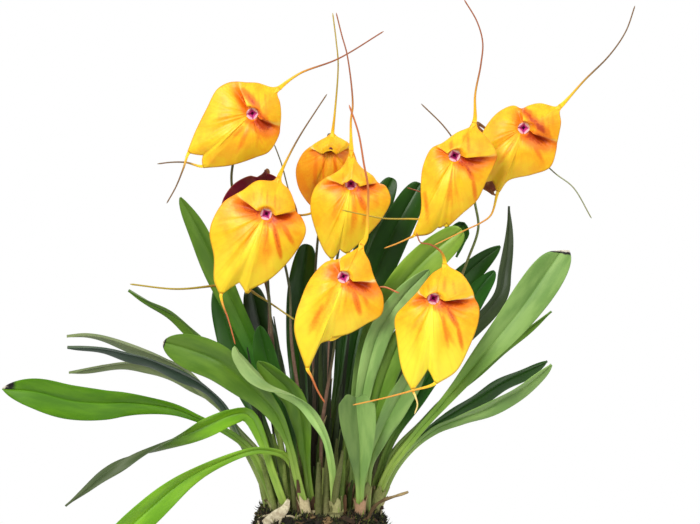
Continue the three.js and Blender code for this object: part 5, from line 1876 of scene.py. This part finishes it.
    def scape(self) -> list[Shell]:
        """Its scape: a thin ridged stalk with the ovary at its end, and two sheathing bracts on the way.

        Returns:
            The stalk with its ovary, and the two bracts.
        """
        bloom, seat, sides = self.bloom, -CUP_DEPTH - CUP_WALL - TOUCH_GAP, 14
        ends = self.placed([(0.0, -1.0, seat - OVARY_LENGTH), (0.0, 0.0, seat)])
        curve = SmoothCurve([(*bloom.foot, FOOT_LEVEL), *bloom.stem[::-1], *ends])
        share = 1.6 * OVARY_LENGTH / curve.length
        shares = np.linspace(0, 1, int(curve.length / 1.5))
        s, turn = shares[:, None], circle(sides)
        ovary = smooth((s - 1 + share) / share)
        slim = STEM_RADIUS * (1 - self.SLIMMER * smooth((s - 0.45) / 0.2))
        ridges = 1 + self.RIDGE_DEPTH * ovary * np.cos(self.RIDGES * turn)
        size = mix(slim, OVARY_RADIUS, ovary) * ridges
        size = size * (1 - 0.35 * smooth((s - 0.985) / 0.015))
        upper = self.STEM_PALE if bloom.name in self.PALE_STEMS else self.STEM_OLIVE
        green, purple, olive = paints(self.STEM_GREEN, self.STEM_PURPLE, upper)
        climb = s[..., None]
        tint = mix(mix(green, purple, smooth(climb / 0.3)), olive, smooth((climb - 0.5) / 0.2))
        layers = {"tint": tint, "chart": grid(turn * 1.05, s * curve.length, 0.0)}
        stalk = rod(curve, shares, size, size, np.array([1.0, 0.0, 0.0]), sides, layers)
        starts = (self.BRACT_AT, 1 - 2.6 * OVARY_LENGTH / curve.length)
        return [stalk, *(self.bract(curve, *place) for place in zip(starts, self.BRACT_LENGTHS))]

    def bract(self, curve: SmoothCurve, start: float, length: float) -> Shell:
        """A bract: a thin sleeve round the scape whose mouth is cut aslant and stands off a little.

        Args:
            curve: the scape.
            start: the share of the scape where it starts.
            length: how long it is.

        Returns:
            The closed surface.
        """
        rows, sides, sideways = 12, 16, np.array([1.0, 0.0, 0.0])
        turn, v = circle(sides), np.linspace(0, 1, rows)[:, None]
        shares = start + v * (0.62 + 0.38 * np.cos(turn)) * length / curve.length
        along = curve.along(shares)
        side = unit(sideways - (along @ sideways)[..., None] * along)
        outward = side * np.cos(turn)[..., None] + np.cross(side, along) * np.sin(turn)[..., None]
        size = (STEM_RADIUS + self.BRACT_ROOM + self.BRACT_FLARE * v ** 2)[..., None]
        green, tan = paints(self.BRACT_GREEN, self.BRACT_TAN)
        layers = {"tint": mix(green, tan, (v ** 1.5)[..., None]), "chart": grid(turn * 1.2, v * length, 0.0)}
        faces = (curve.at(shares) + outward * (size - wall) for wall in (0.0, self.BRACT_WALL))
        return sleeve(*faces, layers)

    def build(self) -> None:
        """Makes its three pieces."""
        name = self.bloom.name
        Mesher.piece(f"flower_{name}", join([self.limb(), *self.tails()]), SEPAL, f"bloom_{name}")
        Mesher.piece(f"heart_{name}", self.heart(), LIP, f"column_{name}")
        Mesher.piece(f"scape_{name}", join(self.scape()), SCAPE, f"stem_{name}")


# ---- Crown, mound and pot ----
@dataclass
class Crown:
    """What stands round the leaf feet: papery sheaths, the stubs of old leaves, and young shoots.

    Attributes:
        leaves: the leaves whose feet it wraps.
        seed: the order of its random draws.
        stubs: how many old stubs there are.
        shoots: how many young green shoots there are.
        reach: how far out from the middle they stand, sideways and to front and back.
        apart: how far they stay from each other and from the leaves' and scapes' feet.
        shaded: shoots further back than this are tall and dark, filling the gaps among the back stems: partly
            dark stalks and partly painted shade.
        stub_height, shoot_height, shaded_height: the least and greatest height of each kind.
    """

    leaves: Sequence[Leaf]
    seed: int = 11
    stubs: int = 16
    shoots: int = 64
    reach: tuple[float, float] = (30.0, 24.0)
    apart: float = 2.8
    shaded: float = 4.0
    stub_height: tuple[float, float] = (8, 24)
    shoot_height: tuple[float, float] = (20, 58)
    shaded_height: tuple[float, float] = (48, 118)

    TANS = ((214, 200, 156), (222, 212, 178), (184, 184, 124), (150, 160, 92), (120, 88, 58), (198, 160, 124),
            (92, 66, 44))
    GREENS = ((132, 152, 72), (150, 164, 88), (100, 126, 44), (70, 94, 30), (98, 106, 52))
    # SHADED: the dark tints of the back shoots, partly dark stalks and partly painted shade among the back
    # stems.
    SHADED = ((38, 54, 14), (52, 70, 20), (30, 40, 12), (44, 62, 18), (60, 48, 30))
    STAIN, ROOT_TAN = (104, 96, 56), (150, 148, 100)
    SHEATH_HEIGHT, SHEATH_ROOM, SECOND_HEIGHT, SECOND_ROOM = (13, 27), (0.35, 0.7), (0.45, 0.7), (1.0, 1.5)
    SECOND_CHANCE = 0.4

    def sheath(self, leaf: Leaf, height: float, room: float, draw: np.random.Generator) -> Shell:
        """One sheath: a thin sleeve round a petiole, its mouth cut aslant and frayed.

        Args:
            leaf: whose petiole it wraps.
            height: how far up from the foot it reaches.
            room: how far it stands off the petiole.
            draw: the random numbers.

        Returns:
            The closed surface.
        """
        rows, sides, buried, wall = 20, 30, 6.0, 0.22
        turn, v = circle(sides), np.linspace(0, 1, rows)[:, None]
        slant, first = draw.uniform(0.1, 0.3), draw.uniform(0, 6.3)
        fray = 0.08 * np.sin(5 * turn + first) + 0.06 * draw.normal(size=(1, sides))
        top = 1 - slant * (1 + np.cos(turn - first)) / 2 + fray
        shares = np.clip((buried + v * top * (height - buried)) / leaf.curve().length, 0, 1).reshape(-1)
        middle, across, face = (axis.reshape(rows, sides, 3) for axis in leaf.frames(shares))
        half = leaf.half_width(shares).reshape(rows, sides, 1)
        stand = room * (1 + 1.3 * v ** 3)[..., None] + 0.15 * np.sin(3 * turn + first)[..., None]
        deep = PETIOLE_THICKNESS / 2 + stand
        middle = middle - face * 0.5
        faces = [middle + across * (half + stand - inset) * np.cos(turn)[..., None]
                 + face * (deep - inset) * np.sin(turn)[..., None] for inset in (0.0, wall)]
        stain, tan = paints(self.STAIN, self.TANS[draw.integers(len(self.TANS))])
        tint = mix(stain, tan, smooth((v - 0.02) / 0.4)[..., None])
        tint = mix(tint, stain, (0.5 * smooth((v - 0.88) / 0.12))[..., None])
        return sleeve(*faces, {"tint": tint, "chart": grid(turn * 2.6, v * height, first)})

    def stalk(self, x: float, y: float, tall: tuple[float, float], tips: Sequence[tuple[int, int, int]],
              draw: np.random.Generator) -> Shell:
        """A short oval stalk that leans outwards: an old leaf's shrunken stub or a young shoot.

        Args:
            x, y: where it stands.
            tall: its least and greatest height.
            tips: the colours that its upper part may have, as sRGB bytes.
            draw: the random numbers.

        Returns:
            The closed surface.
        """
        height = draw.uniform(*tall)
        out = unit(np.array([x, y, 0.0]) + 1e-6)
        lean = draw.uniform(0.05, 0.3) * height * min(1.0, math.hypot(x, y) / 20)
        drift = draw.normal(size=2) * 0.05 * height
        top = np.array([x + out[0] * lean + drift[0], y + out[1] * lean + drift[1], FOOT_LEVEL + 4 + height])
        foot = np.array([x, y, FOOT_LEVEL + 2])
        curve = SmoothCurve([foot, mix(foot, top, 0.5) - out * 0.8, top])
        shares, sides = np.linspace(0, 1, 22), 14
        s, turn = shares[:, None], circle(sides)
        wide = draw.uniform(1.3, 2.2)
        crumple = 1 + 0.1 * np.sin(3 * turn + 9 * s) * smooth(s * 2)
        size = wide * (1 - 0.75 * s ** 3) * crumple
        low, tip = paints(self.ROOT_TAN, tips[draw.integers(len(tips))])
        layers = {"tint": mix(low, tip, smooth(s / 0.4)[..., None]), "chart": grid(turn * 2.0, s * height, x)}
        return rod(curve, shares, size, size * 0.7, np.array([0.0, -1.0, 0.0]), sides, layers)

    def build(self) -> None:
        """Makes the sheaths in one piece, the stubs in another and the shoots in a third."""
        draw = np.random.default_rng(self.seed)
        sheaths = []
        for leaf in self.leaves:
            height = draw.uniform(*self.SHEATH_HEIGHT)
            sheaths.append(self.sheath(leaf, height, draw.uniform(*self.SHEATH_ROOM), draw))
            if draw.random() < self.SECOND_CHANCE:
                short = height * draw.uniform(*self.SECOND_HEIGHT)
                sheaths.append(self.sheath(leaf, short, draw.uniform(*self.SECOND_ROOM), draw))
        Mesher.piece("dry_sheaths", join(sheaths), HUSK)
        feet = np.array([leaf.group.foot for leaf in self.leaves] + [bloom.foot for bloom in BLOOMS], float)
        stalks: list[Shell] = []
        while len(stalks) < self.stubs + self.shoots:
            turn, far = draw.uniform(0, 2 * np.pi), math.sqrt(draw.uniform(0, 1))
            x, y = self.reach[0] * far * math.cos(turn), self.reach[1] * far * math.sin(turn)
            if np.hypot(*(feet - (x, y)).T).min() <= self.apart:
                continue
            feet = np.vstack([feet, (x, y)])
            tall, tips = self.stub_height, self.TANS
            if len(stalks) >= self.stubs:
                # Shoots behind stand tall and dark, partly as painted shade in the gaps among the back stems.
                behind = y > self.shaded
                tall, tips = (self.shaded_height, self.SHADED) if behind else (self.shoot_height, self.GREENS)
            stalks.append(self.stalk(x, y, tall, tips, draw))
        Mesher.piece("old_stubs", join(stalks[:self.stubs]), HUSK)
        Mesher.piece("young_shoots", join(stalks[self.stubs:]), SCAPE)


@dataclass
class Mound:
    """The root ball: dark medium in the pot, moss and litter on top.

    Attributes:
        level: how high its middle stands.
        ball: its radius over the rim.
        fill: how high it fills the pot.
        floor: the pot's floor.
        ripple: how uneven it is.
        tufts, flakes, roots: how many moss shoots, bark flakes and roots lie on it.
        seed: the order of its random draws.
    """

    level: float = 84.0
    ball: float = 36.0
    fill: float = 60.0
    floor: float = 7.0
    ripple: float = 0.8
    tufts: int = 7000
    flakes: int = 70
    roots: int = 34
    seed: int = 29

    DARK, BROWN, OLIVE = (22, 19, 12), (58, 44, 26), (52, 54, 22)
    GREENS = ((22, 24, 10), (36, 42, 16), (60, 70, 24), (104, 116, 40), (50, 42, 22), (30, 22, 14))
    CHANCES = (0.3, 0.24, 0.14, 0.07, 0.12, 0.13)
    BARK = ((60, 42, 26), (88, 64, 40), (40, 30, 20), (120, 96, 62))
    BLEACHED, STICK_FOOT, STICK_TIP = (206, 198, 168), (92, 74, 44), (178, 158, 112)
    PALE_ROOT, BROWN_ROOT = (176, 166, 136), (92, 70, 46)
    SHOOT_HEIGHT, SHOOT_WIDTH = (0.9, 3.4), (0.16, 0.42)
    FLAKE_LEAST, FLAKE_MOST = (1.6, 1.0, 0.4), (4.2, 2.4, 0.9)
    SCRAP = ((-31, -20, 79), (-25, -24, 83), (-19, -26, 88), (-17, -25, 93))
    STICK = ((25, -20, 78), (31, -24, 90), (48, -30, 98))

    def profile(self) -> Array:
        """Its outline from the bottom's middle up to the top's middle: radius, height and roughness.

        Returns:
            One row for each corner.
        """
        bottom = self.floor + TOUCH_GAP
        return np.array([
            (0.0, bottom, 0.0), (Pot.inner(bottom) - TOUCH_GAP, bottom, 0.0),
            (Pot.inner(self.fill) - TOUCH_GAP, self.fill, 0.0), (self.ball + 0.4, self.fill + 6, 0.6),
            (self.ball, self.level - 8, 1.0), (self.ball - 3, self.level - 1, 1.0),
            (self.ball / 2, self.level + 0.4, 1.6), (0.0, self.level, 0.0),
        ])

    def steps(self) -> Array:
        """How long each stretch of the outline is."""
        return np.hypot(*np.diff(self.profile()[:, :2], axis=0).T)

    def surface(self, p: Array, turn: Array) -> Array:
        """The outline turned round, with the same waves as the solid and lumps of two sizes.

        Args:
            p: shares of the outline.
            turn: the angles.

        Returns:
            The points, of the shape that p and turn stretch to.
        """
        outline, steps = self.profile(), self.steps()
        where = np.concatenate([[0], np.cumsum(steps)]) / steps.sum()
        radius, z, rough = (np.interp(p, where, outline[:, i]) for i in range(3))
        wave = self.ripple * rough * (np.sin(3 * turn + z) + 0.7 * np.sin(7 * turn + radius)) * 0.6
        points = grid((radius + wave / 2) * np.cos(turn), (radius + wave / 2) * np.sin(turn), z + wave)
        out = unit(grid(np.cos(turn), np.sin(turn), 0.9 * np.ones_like(z)))
        height = 0.9 * wander(points, 3, 13.0) + 0.6 * wander(points, 4, 5.0)
        return points + out * height[..., None] * np.minimum(1, rough)[..., None]

    def top_share(self) -> float:
        """The share of the outline where the root ball leaves the pot."""
        steps = self.steps()
        return float(steps[:3].sum() / steps.sum())

    def ground(self, count: int, draw: np.random.Generator, low: float = 0.0) -> tuple[Array, Array]:
        """Random places on the root ball.

        Args:
            count: how many.
            draw: the random numbers.
            low: how far up from the pot to the middle they start, from 0 to 1.

        Returns:
            The places and which way is out there, each (count, 3).
        """
        start = mix(self.top_share(), 1.0, low)
        p = start + (0.985 - start) * (1 - np.sqrt(draw.uniform(0, 1, count)))
        turn = draw.uniform(0, 2 * np.pi, count)
        here = self.surface(p, turn)
        up = self.surface(p + 0.004, turn) - here
        side = self.surface(p, turn + 0.02) - here
        return here, unit(np.cross(side, up))

    def moss(self, draw: np.random.Generator) -> Shell:
        """The moss shoots: each a thin bent cone of three sides, from a ring under the surface to a point.

        Args:
            draw: the random numbers.

        Returns:
            All of them in one mesh: seven points, three quads and four triangles each.
        """
        here, out = self.ground(self.tufts, draw)
        lean = unit(out + draw.normal(size=out.shape) * 0.55)
        tall = draw.uniform(*self.SHOOT_HEIGHT, size=(self.tufts, 1))
        tall *= 0.7 + 0.6 * (wander(here, 8, 16.0) > 0)[:, None]
        thick = draw.uniform(*self.SHOOT_WIDTH, size=(self.tufts, 1))[:, None]
        side = unit(np.cross(lean, draw.normal(size=out.shape)))
        turns = np.array([0, 2 * np.pi / 3, 4 * np.pi / 3])[None, :, None]
        round_ = side[:, None] * np.cos(turns) + np.cross(lean, side)[:, None] * np.sin(turns)
        bend = unit(lean + np.array([0, 0, 0.5]) + draw.normal(size=out.shape) * 0.35)
        knee = here + lean * tall * 0.55
        base = here[:, None] - 0.5 * out[:, None] + round_ * thick
        tip = (knee + bend * tall * 0.5)[:, None]
        points = np.concatenate([base, knee[:, None] + round_ * thick * 0.8, tip], axis=1)
        start = (np.arange(self.tufts) * 7)[:, None, None]
        quads = np.array([[0, 1, 4, 3], [1, 2, 5, 4], [2, 0, 3, 5]])[None] + start
        tris = np.array([[3, 4, 6], [4, 5, 6], [5, 3, 6], [2, 1, 0]])[None] + start
        pick = draw.choice(len(self.GREENS), self.tufts, p=np.array(self.CHANCES))
        tint = np.repeat(paints(*self.GREENS)[pick][:, None], 7, axis=1)
        tint[:, 6] *= 1.5
        return Shell(points.reshape(-1, 3), quads.reshape(-1, 4), tris.reshape(-1, 3),
                     {"tint": tint.reshape(-1, 4)}).facing_out()

    def flake(self, middle: Array, out: Array, draw: np.random.Generator) -> Shell:
        """A flake of bark: a squashed, lumpy ball with squarish sides, lying on the surface.

        Args:
            middle: where it lies.
            out: which way is out there.
            draw: the random numbers.

        Returns:
            The closed surface.
        """
        size = draw.uniform(self.FLAKE_LEAST, self.FLAKE_MOST)
        tint = paints(*self.BARK)[draw.integers(len(self.BARK))]
        tilt, turn = np.linspace(0.18, math.pi - 0.18, 8)[:, None], circle(12)
        ball = grid(np.sin(tilt) * np.cos(turn), np.sin(tilt) * np.sin(turn), np.cos(tilt))
        square = np.sign(ball) * np.abs(ball) ** 0.6
        lumpy = square * (1 + 0.16 * wander(ball, int(draw.integers(1, 999)), 1.6))[..., None]
        side = unit(np.cross(out, draw.normal(size=3)))
        turned = (lumpy * size) @ np.stack([side, np.cross(out, side), out])
        return ring_solid(middle + turned, {"tint": tint})

    def litter(self, draw: np.random.Generator) -> Shell:
        """Bark flakes, the bleached dead leaf base at the front left, and the dry stick at the right.

        Args:
            draw: the random numbers.

        Returns:
            All of them in one mesh.
        """
        pieces = [self.flake(here, out, draw) for here, out in zip(*self.ground(self.flakes, draw, 0.25))]
        bleached, foot, tip = paints(self.BLEACHED, self.STICK_FOOT, self.STICK_TIP)
        s = np.linspace(0, 1, 22)
        swell = np.sin(np.pi * np.clip(0.12 + 0.83 * s, 0, 1)) ** 0.7
        facing = np.array([0.3, -0.9, 0.4])
        pieces.append(rod(SmoothCurve(self.SCRAP), s, 3.0 * swell, 0.5 * swell, facing, 16,
                          {"tint": bleached}))
        s = np.linspace(0, 1, 30)
        size = mix(1.1, 0.75, s) * (1 + 0.12 * np.sin(23 * s))
        pieces.append(rod(SmoothCurve(self.STICK), s, size, size, np.array([0.0, -1.0, 0.0]), 12,
                          {"tint": mix(foot, tip, smooth((s - 0.5) / 0.5)[:, None, None])}))
        return join(pieces)

    def creepers(self, draw: np.random.Generator) -> Shell:
        """Thin roots that creep over the root ball and end under its surface.

        Args:
            draw: the random numbers.

        Returns:
            All of them in one mesh.
        """
        made = []
        for _ in range(self.roots):
            turn, span = draw.uniform(0, 2 * np.pi), draw.uniform(0.25, 0.8)
            low, high = sorted(draw.uniform(self.top_share() + 0.01, 0.9, 2))
            p = np.linspace(low, high, 7) + draw.normal(size=7) * 0.006
            path = self.surface(p, turn + np.linspace(0, span, 7) + draw.normal(size=7) * 0.05)
            path[[0, -1]] *= np.array([0.96, 0.96, 0.985])
            curve = SmoothCurve(path)
            s = np.linspace(0, 1, max(12, int(curve.length / 1.2)))
            size = draw.uniform(0.35, 0.75) * (1 + 0.15 * np.sin(31 * s + turn))
            tint = paints(self.PALE_ROOT if draw.random() < 0.45 else self.BROWN_ROOT)[0]
            made.append(rod(curve, s, size, size, np.array([0.11, 0.13, 0.98]), 8, {"tint": tint}))
        return join(made)

    def build(self) -> None:
        """Makes the root ball, its moss, its litter and its roots."""
        draw = np.random.default_rng(self.seed)
        p = np.concatenate([np.linspace(0.01, 0.5, 24), np.linspace(0.5, 0.995, 90)[1:]])[:, None]
        body = self.surface(p, circle(220))
        dark, brown, olive = paints(self.DARK, self.BROWN, self.OLIVE)
        tint = mix(dark, brown, smooth(wander(body, 5, 8.0) * 0.8 + 0.3)[..., None])
        tint = mix(tint, olive, smooth(wander(body, 6, 20.0) * 0.9 + 0.2)[..., None])
        Mesher.piece("root_ball", ring_solid(body, {"tint": tint}), EARTH, "growing_medium")
        Mesher.piece("moss_shoots", self.moss(draw), MOSS)
        Mesher.piece("bark_litter", self.litter(draw), WOOD)
        Mesher.piece("creeping_roots", self.creepers(draw), WOOD)


@dataclass
class Pot:
    """The round clay pot.

    Attributes:
        height, rim_radius, rim_height, collar, base_radius, wall, floor, edge: its sizes.
        drain_radius, drain_circle, drains: its drain holes.
        throwing, dents: how deep its thrown rings and its unevenness are.
    """

    height: float = 68.0
    rim_radius: float = 46.0
    rim_height: float = 13.0
    collar: float = 3.0
    base_radius: float = 32.0
    wall: float = 4.0
    floor: float = 7.0
    edge: float = 1.2
    drain_radius: float = 3.5
    drain_circle: float = 16.0
    drains: int = 3
    throwing: float = 0.12
    dents: float = 0.25

    @classmethod
    def outer(cls, z: float) -> float:
        """The radius of its outside below the collar at that height."""
        return mix(cls.base_radius, cls.rim_radius - cls.collar, z / cls.height)

    @classmethod
    def inner(cls, z: float) -> float:
        """The radius of its inside at that height."""
        return cls.outer(z) - cls.wall

    def profile(self) -> Array:
        """Its section from the middle of its underside round to the middle of its floor, corners rounded.

        Returns:
            Points of radius and height, no more than about 2.5 mm apart.
        """
        collar, top, e, middle = self.height - self.rim_height, self.height, self.edge, 0.4
        corners = [
            (middle, 0.0, 0.0), (self.base_radius, 0.0, e), (self.outer(collar), collar, 0.6),
            (self.rim_radius, collar, e), (self.rim_radius, top, e), (self.inner(top), top, e),
            (self.inner(self.floor), self.floor, 2.0), (middle, self.floor, 0.0),
        ]
        points = [np.array(corners[0][:2])]
        for (x0, z0, _), (x1, z1, r), (x2, z2, _) in zip(corners, corners[1:], corners[2:]):
            here = np.array([x1, z1])
            before, after = unit(np.array([x0, z0]) - here), unit(np.array([x2, z2]) - here)
            t = np.linspace(0, 1, 7)[:, None]
            points.extend(here + before * r * (1 - t) ** 2 + after * r * t ** 2)
        points.append(np.array(corners[-1][:2]))
        counts = [max(2, int(np.linalg.norm(b - a) / 2.5) + 1) for a, b in zip(points, points[1:])]
        rows = [np.linspace(a, b, count)[:-1] for a, b, count in zip(points, points[1:], counts)]
        return np.vstack([*rows, points[-1]])

    def build(self) -> None:
        """Turns the section round the middle, a fraction of a millimetre uneven, and cuts its holes."""
        section, turn = self.profile(), circle(160)
        radius, z = section[:, :1], section[:, 1:]
        rings = grid(radius * np.cos(turn), radius * np.sin(turn), z)
        throwing = self.throwing * np.sin(z / 1.9) * smooth((z - 2) / 6) * smooth((self.height - 2 - z) / 4)
        dents = self.dents * wander(rings, 41, 30.0) * smooth(z / 4) * smooth((self.height - z) / 4)
        outward = grid(np.cos(turn), np.sin(turn), 0.0)
        rings = rings + outward * ((throwing + dents) * smooth(radius / 20))[..., None]
        self.cut_drains(Mesher.piece("clay_pot", ring_solid(rings, {}), CLAY, "pot", sharp=40))

    def cut_drains(self, pot: bpy.types.Object) -> None:
        """Cuts the drain holes through the floor with a Boolean, applied at once.

        Args:
            pot: the pot's piece.
        """
        turn, plugs, past = circle(28), [], 4.0
        for i in range(self.drains):
            angle = 2 * np.pi * (i + 0.25) / self.drains
            x, y = self.drain_circle * math.cos(angle), self.drain_circle * math.sin(angle)
            z = np.linspace(-past, self.floor + past, 4)[:, None]
            radius = self.drain_radius
            plugs.append(ring_solid(grid(x + radius * np.cos(turn), y + radius * np.sin(turn), z), {}))
        cutter = add_object("drain_plugs", Mesher.mesh("drain_plugs", join(plugs)))
        cut = pot.modifiers.new("drains", "BOOLEAN")
        cut.operation, cut.solver, cut.object = "DIFFERENCE", "EXACT", cutter
        seen = pot.evaluated_get(bpy.context.evaluated_depsgraph_get())
        finished = bpy.data.meshes.new_from_object(seen)
        pot.modifiers.clear()
        whole, pot.data = pot.data, finished
        finished.name = "clay_pot"
        bpy.data.meshes.remove(whole)
        bpy.data.objects.remove(cutter)


# ---- Studio ----
@dataclass
class Studio:
    """The floor and backdrop, the lights and the camera.

    Attributes:
        aim: the point that the camera looks at.
        distance: how far away it stands.
        elevation: how far up it stands, in degrees.
        lens, sensor: its focal length and the width of its sensor.
        ambient: how strong the light from all round is.
        floor_size: half the side of the floor, in metres.
        lit: the point that the lamps face, in metres.
    """

    aim: Point = (16.5, 0.0, 220.6)
    distance: float = 1400.0
    elevation: float = 5.0
    lens: float = 130.9
    sensor: float = 36.0
    ambient: float = 0.66
    floor_size: float = 6.0
    lit: Point = (0.0, 0.0, 0.2)

    def camera(self) -> None:
        """Puts the camera in front of the plant, a little above it."""
        tilt = math.radians(self.elevation)
        data = bpy.data.cameras.new("front_camera")
        data.lens, data.sensor_width = self.lens, self.sensor
        data.clip_start, data.clip_end = 0.05, 50.0
        made = add_object("front_camera", data)
        away = Vector((0.0, -self.distance * math.cos(tilt), self.distance * math.sin(tilt)))
        made.location = (Vector(self.aim) + away) * MM
        made.rotation_euler = (math.radians(90 - self.elevation), 0.0, 0.0)
        bpy.context.scene.camera = made

    def lamp(self, name: str, place: Point, size: float, power: float,
             colour: Point = (1.0, 1.0, 1.0)) -> None:
        """A square soft light that faces the plant.

        Args:
            name: its name.
            place: where it hangs, in metres.
            size: its side, in metres.
            power: its power, in watts.
            colour: its colour.
        """
        data = bpy.data.lights.new(name, "AREA")
        data.shape, data.size, data.energy, data.color = "SQUARE", size, power, colour
        made = add_object(name, data)
        made.location = place
        made.rotation_euler = (Vector(self.lit) - Vector(place)).to_track_quat("-Z", "Y").to_euler()

    def floor(self) -> None:
        """A floor wide enough for every view."""
        half = self.floor_size
        mesh = bpy.data.meshes.new("pale_floor")
        corners = [(-half, -half, 0), (half, -half, 0), (half, half, 0), (-half, half, 0)]
        mesh.from_pydata(corners, [], [(0, 1, 2, 3)])
        mesh.materials.append(STUDIO.material())
        add_object("pale_floor", mesh)

    def sky(self) -> None:
        """Even light from all round, which the camera sees as plain white."""
        world = bpy.data.worlds.new("white_studio")
        world.use_nodes = True
        kit = NodeKit(world.node_tree)
        background = world.node_tree.nodes["Background"]
        background.inputs["Color"].default_value = STUDIO.white
        seen = kit.node("ShaderNodeLightPath").outputs["Is Camera Ray"]
        kit.feed(background.inputs["Strength"], kit.plus(self.ambient, kit.times(seen, 1 - self.ambient)))
        bpy.context.scene.world = world

    def build(self) -> None:
        """Sets up the whole studio."""
        self.camera()
        self.floor()
        self.sky()
        self.lamp("key_light", (-0.9, -1.7, 1.4), 0.7, 42.0, (1.0, 0.98, 0.95))
        self.lamp("fill_light", (1.4, -1.5, 0.9), 1.0, 14.0)
        self.lamp("rim_light", (0.7, 1.2, 1.5), 0.8, 13.0)
        view = bpy.context.scene.view_settings
        view.view_transform, view.look, view.exposure = "Standard", "None", 0.0
        log.info("studio")


def main() -> None:
    """Builds the studio and then the plant, piece by piece."""
    logging.basicConfig(level=logging.INFO, format="%(name)s: %(message)s")
    Studio().build()
    Pot().build()
    Mound().build()
    foliage = Foliage(LEAVES)
    foliage.build()
    Crown([leaf for row in foliage.leaves() for leaf in row]).build()
    for seed, bloom in enumerate(BLOOMS):
        Flower(bloom, seed).build()


if __name__ == "__main__":
    main()
